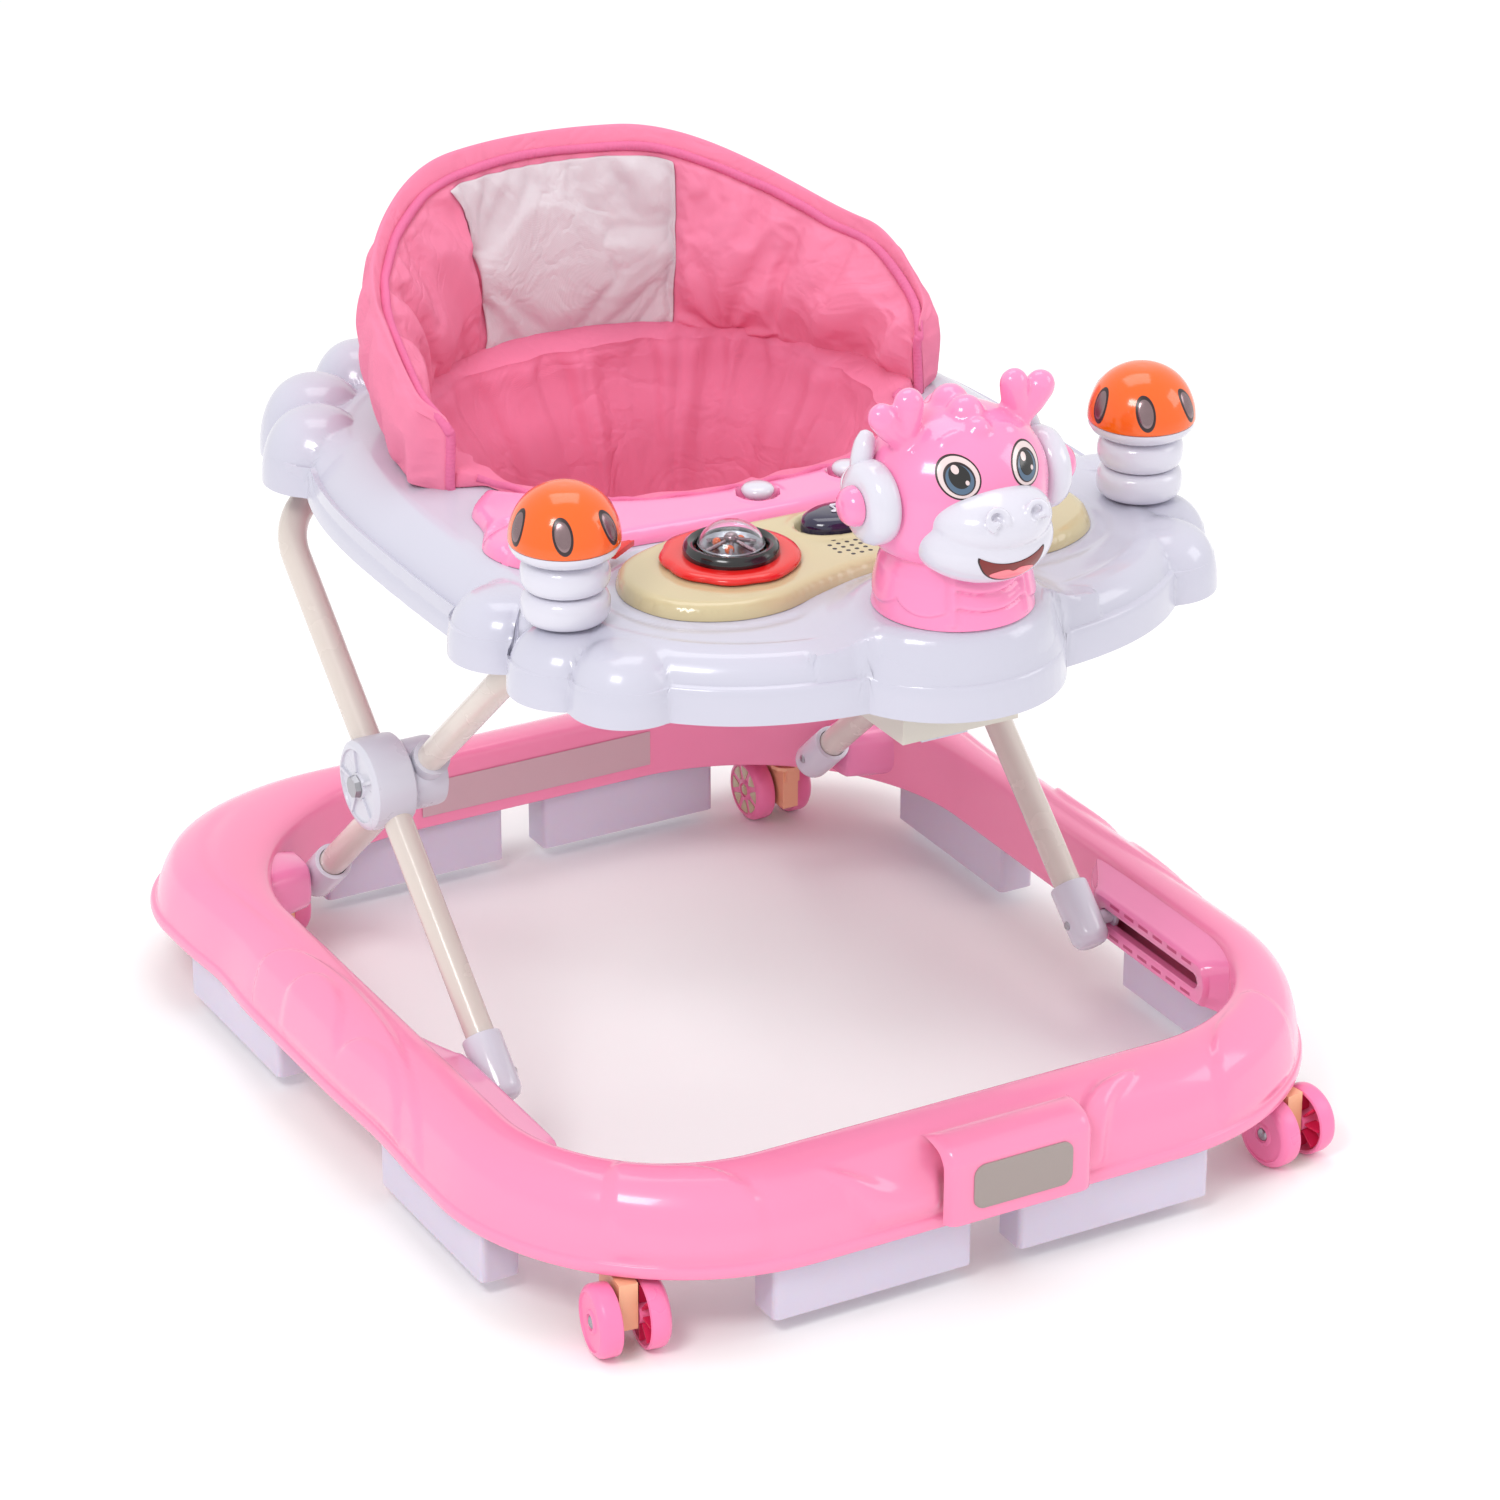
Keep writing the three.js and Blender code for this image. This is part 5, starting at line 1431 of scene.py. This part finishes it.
def seat_binding(skin):
    """Tape round the seat back: up one wing's end, along the rim and down the other end."""
    rim = skin[INNER_ROWS + 1] * 0.6 + skin[INNER_ROWS - 1] * 0.4
    rows = np.arange(3, INNER_ROWS - 3)
    left, right = (0.5 * (skin[rows, c] + skin[-1 - rows, c]) for c in (0, -1))
    path = np.vstack([left, rim[2:-2], right[::-1]])
    for _ in range(6):
        path[1:-1] = 0.25 * path[:-2] + 0.5 * path[1:-1] + 0.25 * path[2:]
    wave = np.arange(len(path))
    path[:, 2] += 0.9 * np.sin(wave / 5.1) * np.sin(wave / 23.0) + 0.8
    overlock("seat_rim_tape", path, 3.1)


def sling_scale(z):
    """How wide the sling is at a height, as a share of the seat's opening."""
    return np.interp(z, [240, 244, 262, 300, 340, 360, 375, 388, 400, 413, 416],
                     [0.42, 0.5, 0.62, 0.68, 0.74, 0.775, 0.82, 0.885, 0.93, 0.955, 0.968])


def sling_folds(bearing, z):
    """Soft pleats running down the cloth, deeper near the gathered places, and its seams."""
    depth = 3.6 * np.sin(bearing * 0.19 + 1.3 * np.sin(bearing * 0.043))
    depth += 2.2 * np.sin(bearing * 0.41 + z / 60)
    fan = smooth(300, 412, z) * smooth(418, 405, z)
    depth = depth * (0.55 + fan)
    gather = bump(bearing, GATHER_ANGLE, 22) * smooth(340, 408, z)
    depth += 4.6 * np.sin((bearing - GATHER_ANGLE) * 0.62) * gather
    depth += 2.6 * np.sin((bearing + 78) * 0.7) * bump(bearing, -80, 20) * smooth(350, 410, z)
    for seam in (5, 35, 85):
        depth -= 2.6 * bump(bearing, seam + (z - 400) * 0.02, 1.5) * smooth(270, 300, z)
    return depth * smooth(246, 290, z)


SLING_INSIDE = (417.6, 416.2, 413.5, 410, 405, 400, 394, 388, 381, 374, 366, 357, 348, 338, 327, 316, 304,
                292,
                280, 269, 260, 253, 248.5)
SLING_OUTSIDE = (247, 256, 268, 284, 300, 320, 340, 355, 366, 375, 384, 393, 402, 411)


def sling_rows(bearing, direction, reach, front):
    """The sling's rings: over the hem, down the inside, across the bottom twice and up the outside."""
    centre = np.array((0.0, SEAT_Y))

    def ring(radius, z):
        return np.c_[centre + direction * radius[:, None],
                     np.broadcast_to(np.asarray(z, float), len(radius))]

    around = SEAT_BACK_Y - SEAT_Y
    wide = 155 + splay(bearing)
    tucked = around * direction[:, 1] + np.sqrt(wide ** 2 - (around * direction[:, 0]) ** 2)
    hem = reach + 4.6 * front + np.maximum(tucked - reach, 0) * (1 - front)
    crease = 1.0 * np.sin(bearing * 0.47) * front + 5.5 * (1 - front)
    rows = [ring(hem - 2.2 * front, 414.6), ring(hem, 415.6), ring(hem - 0.6, 417.0 + crease * 0.4),
            ring(hem - 2.4, 418.0 + crease), ring(hem * 0.6 + reach * 0.39, 418.6 + crease)]
    for z in SLING_INSIDE:
        inset = 3.0 + 1.2 * smooth(400, 416, z)
        fold = np.maximum(sling_folds(bearing, z), -inset + 1.2)
        rows.append(ring(reach * sling_scale(z) - inset - fold, z))
    for scale, z in ((0.5, 246.5), (0.36, 245.6), (0.2, 245.2), (0.02, 245)):
        rows.append(ring((reach * scale - 2).clip(0.5), z))
    for scale, z in ((0.02, 241), (0.2, 241), (0.36, 241.2), (0.48, 242.4)):
        rows.append(ring((reach * scale - 1).clip(0.5), z))
    for z in SLING_OUTSIDE:
        fold = np.maximum(sling_folds(bearing, z), 0) * 0.6
        rows.append(ring(np.minimum(reach * sling_scale(z) + 1.8 - fold, reach - 3.4), z))
    return rows


LEG_HOLE, LEG_HOLE_RADIUS = (42, 74), 31


def seat_sling():
    """The sling with its two leg holes, and tapes round the holes and along the front hem."""
    angle = np.arange(288) * TAU / 288
    reach = reach_of(((angle + math.pi) % TAU) - math.pi, [seat_hole(720)], [], np.array((0.0, SEAT_Y)))
    direction = np.stack([np.cos(angle), np.sin(angle)], 1)
    bearing = np.degrees(np.arctan2(direction[:, 0], direction[:, 1]))
    rows = sling_rows(bearing, direction, reach, smooth(104, 110, np.abs(bearing)))
    # The whole sling takes the darker cloth, as painted shade.
    obj = piece("sling_cloth", *loft(rows, close_rows=True), M_SEAT_SHADED, "", sharp=NO_SHARP_EDGES)
    cutters = []
    for _, side in SIDES:
        column = [(0, 215), (LEG_HOLE_RADIUS, 215), (LEG_HOLE_RADIUS, 262), (0, 262)]
        cutter = piece("hole_cutter", *lathe(column, 48, None, (side * LEG_HOLE[0], LEG_HOLE[1], 0)),
                       M_SEAT_SHADED, "")
        cut = obj.modifiers.new("leg_hole", "BOOLEAN")
        cut.operation = "DIFFERENCE"
        cut.solver = "EXACT"
        cut.object = cutter
        cutters.append(cutter)
    applied(obj)
    for cutter in cutters:
        bpy.data.objects.remove(cutter)
    dress(obj, M_SEAT_SHADED, "tray", ["seat_sling"], "fabric", 60)
    turn = np.linspace(0, TAU, 140)
    for name, side in SIDES:
        circle = np.c_[np.cos(turn), np.sin(turn)] * (LEG_HOLE_RADIUS + 0.5)
        circle += (side * LEG_HOLE[0], LEG_HOLE[1])
        overlock(f"leg_hole_tape_{name}", np.c_[circle, np.full(len(turn), 243.2)], 3.0)
    hem = rows[3][np.abs(bearing) > 107] + (0, 0, 0.3)
    overlock("front_hem_tape", hem[np.argsort(np.arctan2(hem[:, 0], SEAT_Y - hem[:, 1]))], 2.3)


# ---------------------------------------------------------------- dragon

HEAD = np.array((0.0, DRAGON_Y, 503.0))
HEAD_RADII = np.array((56.0, 50.0, 47.0))


def dragon_neck():
    heights = np.linspace(426.5, 464.5, 40)
    radius = np.interp(heights, [426.5, 430, 438, 452, 460, 464.5], [49.6, 49, 47.4, 44.4, 43, 42.4])
    angle = np.arange(180) * TAU / 180
    turn = np.degrees(np.arctan2(np.cos(angle), -np.sin(angle)))
    rows = []
    for z, r in zip(heights, radius):
        relief = np.zeros_like(angle)
        front = smooth(31, 28, np.abs(turn))
        for base in (436.0, 446.5, 457.0):
            line = base + 4.0 * (np.abs(turn) / 31) ** 2
            relief += front * (-1.5 * bump(z, line, 1.0) + 1.2 * bump(z, line + 3.8, 3.0))
        for edge in (-31, 31):
            relief += 2.2 * bump(turn, edge, 2.6) * smooth(427.5, 431, z)
        scale_line = 441 - 7 * np.abs(np.sin(np.radians((np.abs(turn) - 31) * 4.0))) ** 0.7
        side = smooth(34, 38, np.abs(turn)) * smooth(166, 158, np.abs(turn))
        relief += side * 2.0 * smooth(scale_line - 1.2, scale_line + 1.2, z) * smooth(462, 452, z)
        relief *= smooth(426.5, 428.5, z)
        rows.append(np.c_[(r + relief - 1) * np.cos(angle), DRAGON_Y + (r + relief - 1) * np.sin(angle),
                          np.full(180, z)])
    verts, faces = loft(rows, cap=True)
    piece("neck_shell", verts, faces, M_PINK, "tray", ["dragon_neck"], "pink_shell", sharp=60)


def heart_horn(side):
    """A short stem that opens into two rounded lobes."""
    tilt = about("Y", math.radians(side * 16))
    root = np.array((side * 39, -269, 536.0))
    parts = []
    for lean, size, rise in ((-9.3, 8.7, 20), (9.3, 9.2, 20.5)):
        path = [(0, 0, -4), (lean * 0.2, 0, 4), (lean * 0.62, 0, 11), (lean, 0, rise)]
        path = spline(path, 14) @ np.array(tilt).T + root
        parts.append(sweep(path, np.linspace(7.4, size, 14), 24))
        parts.append(ball(path[-1], (size, size * 0.88, size), 28, 18))
    return parts


def dragon_head():
    parts = []
    verts, faces = ball((0, 0, 0), (1, 1, 1), 72, 48)
    shape = verts * HEAD_RADII
    fall = np.clip(-verts[:, 2], 0, 0.98)
    full = (1 - fall ** 3.4) ** (1 / 3.4) / np.sqrt(1 - fall ** 2)
    shape[:, :2] *= full[:, None]
    shape[:, 2] = np.maximum(shape[:, 2], -38 + 0.12 * (shape[:, 2] + 38))
    parts.append((shape + HEAD, faces))
    for _, side in SIDES:
        parts += heart_horn(side)
    for y, z, r in ((-287, 540, 9), (-273, 546, 12), (-256, 547, 12), (-243, 541, 8.5)):
        parts.append(ball((0, y, z), (r, r * 0.95, r), 28, 18))
    for _, side in SIDES:
        lean = about("Y", side * math.radians(18)) @ about("X", 0.6)
        parts.append(ball((side * 19, -288.5, 540), (8.5, 4, 2.2), 20, 12, lean))
    skull = remeshed(parts, 1.5, "head_shell", smoothing=7)
    dress(skull, M_PINK, "dragon_head", ["dragon_head"], "pink_shell", 180)
    return skull


def surface_patch(tree, outline, lift, cell=0.9):
    """A thin patch laid on a surface: outline is in x and z, cast back along +Y."""
    flat, faces = slab(outline, 0, lambda x, y, d: np.zeros_like(x), cell)
    used = [f for f in faces if len(f) == 3]
    count = max(max(f) for f in used) + 1
    points, ok = [], []
    for x, z in flat[:count, :2]:
        hit, normal, _, _ = tree.ray_cast(Vector((x, -420, z)) * MM, Vector((0, 1, 0)))
        if hit is None:
            points.append((x, -264, z))
            ok.append(False)
            continue
        spot = (hit + normal * lift * MM) / MM
        points.append(tuple(spot))
        ok.append(True)
    faces = [f for f in used if all(ok[i] for i in f)]
    return np.array(points), faces


def oval(cx, cz, half_x, half_z, lean=0.0, count=48):
    a = np.arange(count) * TAU / count
    x, z = half_x * np.cos(a), half_z * np.sin(a)
    c, s = math.cos(lean), math.sin(lean)
    return np.c_[cx + x * c - z * s, cz + x * s + z * c]


def tree_of(obj):
    mesh = obj.data
    return BVHTree.FromPolygons([v.co for v in mesh.vertices], [p.vertices for p in mesh.polygons])


PATCH_DEPTH = 0.35


def thick(name, patch, material, slot):
    """A patch on the dragon's face, turned to face forwards and given a thickness."""
    obj = piece(name, *patch, material, "", weld=False)
    work = bmesh.new()
    work.from_mesh(obj.data)
    for face in work.faces:
        if face.normal.y > 0:
            face.normal_flip()
    work.to_mesh(obj.data)
    work.free()
    thickened(obj, PATCH_DEPTH, -1)
    dress(obj, material, "dragon_head", (), slot, 50)


def dragon_face(skull):
    skin = tree_of(skull)
    jaw, faces = ball((0, 0, 0), (1, 1, 1), 64, 44)
    jaw = jaw * (42.5, 36, 27) + (0, -296, 479)
    rho = np.hypot(jaw[:, 0], jaw[:, 1] - DRAGON_Y)
    floor = 465.4 - 14 * smooth(50.5, 57, rho)
    jaw[:, 2] = np.maximum(jaw[:, 2], floor)
    snout = [(jaw, faces), ball((0, -302, 494), (37.5, 34, 21), 48, 30)]
    for _, side in SIDES:
        ring = [(side * 13.5 + 6.4 * math.cos(a), -333.2 + 2.2 * math.sin(a) + 0.6,
                 503.5 + 6.0 * math.sin(a))
                for a in np.linspace(-0.6, 4.4, 26)]
        snout.append(sweep(ring, np.linspace(2.6, 1.6, 26), 14))
        snout.append(ball((side * 14.5, -334.0, 502.5), (2.6, 2.4, 2.2), 16, 10))
    muzzle = remeshed(snout, 1.3, "muzzle_shell", smoothing=6)
    dress(muzzle, M_WHITE, "dragon_head", ["dragon_muzzle"], "white_shell", 180)
    tree = tree_of(muzzle)
    top = [(-21, 479.6), (-19, 478.6), (-13, 476.3), (-6, 475), (2, 474.9), (9, 475.9), (16, 477.8),
           (20.5, 479.6)]
    bottom = [(20.8, 476.4), (17.6, 470), (12, 465.4), (5, 463.1), (-3, 463), (-11, 465.2), (-17.4, 470),
              (-21, 476.4)]
    mouth = spline(top + bottom, 90, closed=True)
    middle = mouth.mean(0)
    outline = middle + (mouth - middle) * (1.05, 1.09)
    thick("mouth_line", surface_patch(tree, outline, 0.25), M_DARK, "black")
    thick("mouth_inside", surface_patch(tree, mouth, 0.5), M_MOUTH, "red")
    tongue = spline([(-14.6, 468.4), (-9.5, 470.6), (-4, 471), (0, 469.4), (4, 471), (9.5, 470.6),
                     (14.8, 468.6),
                     (10.4, 465.4), (4.5, 463.9), (-3, 463.8), (-10, 465.6)], 70, closed=True)
    thick("tongue", surface_patch(tree, tongue, 0.75), M_TONGUE, "pink_shell")
    for name, side in SIDES:
        cx, cz, lean = side * 22.3, 521.8, side * -0.08
        layers = (("rim", 11.9, 12.0, 0, 0, 0.2, M_DARK), ("white", 10.9, 11.0, 0, 0, 0.35, M_EYE_WHITE),
                  ("outer_iris", 8.4, 8.8, 0, -0.6, 0.5, M_DARK),
                  ("iris", 7.4, 7.8, 0, -1.0, 0.65, M_IRIS),
                  ("pupil", 5.6, 6.2, 0, 0.6, 0.8, M_BLACK))
        for part, half_x, half_z, dx, dz, lift, look in layers:
            patch = surface_patch(skin, oval(cx + dx, cz + dz, half_x, half_z, lean), lift)
            slot = "black" if look in (M_DARK, M_BLACK) else "white_shell"
            thick(f"eye_{part}_{name}", patch, look, slot)
        glint = surface_patch(skin, oval(cx - 1.6, cz + 4.4, 2.0, 2.3), 0.95, 0.6)
        thick(f"eye_glint_{name}", glint, M_EYE_WHITE, "white_shell")
        spark = surface_patch(skin, oval(cx + 3.4, cz - 2.6, 1.1, 1.3), 0.95, 0.5)
        thick(f"eye_spark_{name}", spark, M_EYE_WHITE, "white_shell")


def headphones():
    for name, side in SIDES:
        turn, at = sideways(side), (0, -266, 500)
        cup = lathe([(0, 44), (21.5, 50), (24.4, 52), (25.4, 55.5), (25, 60.5), (23, 64.6), (18.8, 67.2),
                     (15, 68),
                     (0, 68)], 56, turn, at)
        arm = sweep(spline([(side * 58, -256, 512), (side * 57.5, -253, 521), (side * 53.5, -251, 530),
                            (side * 49, -250, 537)], 24),
                    np.interp(np.arange(24), [0, 15, 20, 23], [8.6, 7.4, 5.6, 2.4]), 20)
        flat = arm[0].copy()
        flat[:, 0] = side * 55 + (flat[:, 0] - side * 55) * 0.8
        piece(f"earphone_{name}", *merge(cup, (flat, arm[1])), M_WHITE, "dragon_head",
              ["dragon_headphones"] if side < 0 else (), "white_shell")
        knob = lathe([(0, 68.3), (11.6, 68.3), (12.2, 69), (12, 71.2), (10.8, 74.4), (8.6, 76.8),
                      (5.2, 78.2), (0, 78.6)], 44,
                     turn, at)
        piece(f"ear_button_{name}", *knob, M_PINK, "dragon_head", [f"ear_knob_{name}"], "pink_shell")
    angle = np.linspace(math.radians(12), math.radians(168), 60)
    rows = []
    for a in angle:
        c, s = math.cos(a), math.sin(a)
        rows.append([(r * c, -262 + r * s, z)
                     for r, z in ((60, 490.6), (61, 490), (65, 490), (66, 491), (66, 499),
                                                            (65, 500), (61, 500), (60, 499.4))])
    verts, faces = loft(rows, cap=True)
    piece("earphone_band", verts, faces, M_WHITE, "dragon_head", (), "white_shell", sharp=50)


camera()
studio()
base_shell()
base_fittings()
badge()
label()
wheels()
frames()
hubs()
carried_over()
tray_shell()
tray_fittings()
toy_panel()
arm_band()
keys()
lamps()
mushrooms()
seat_back()
seat_sling()
dragon_neck()
dragon_face(dragon_head())
headphones()
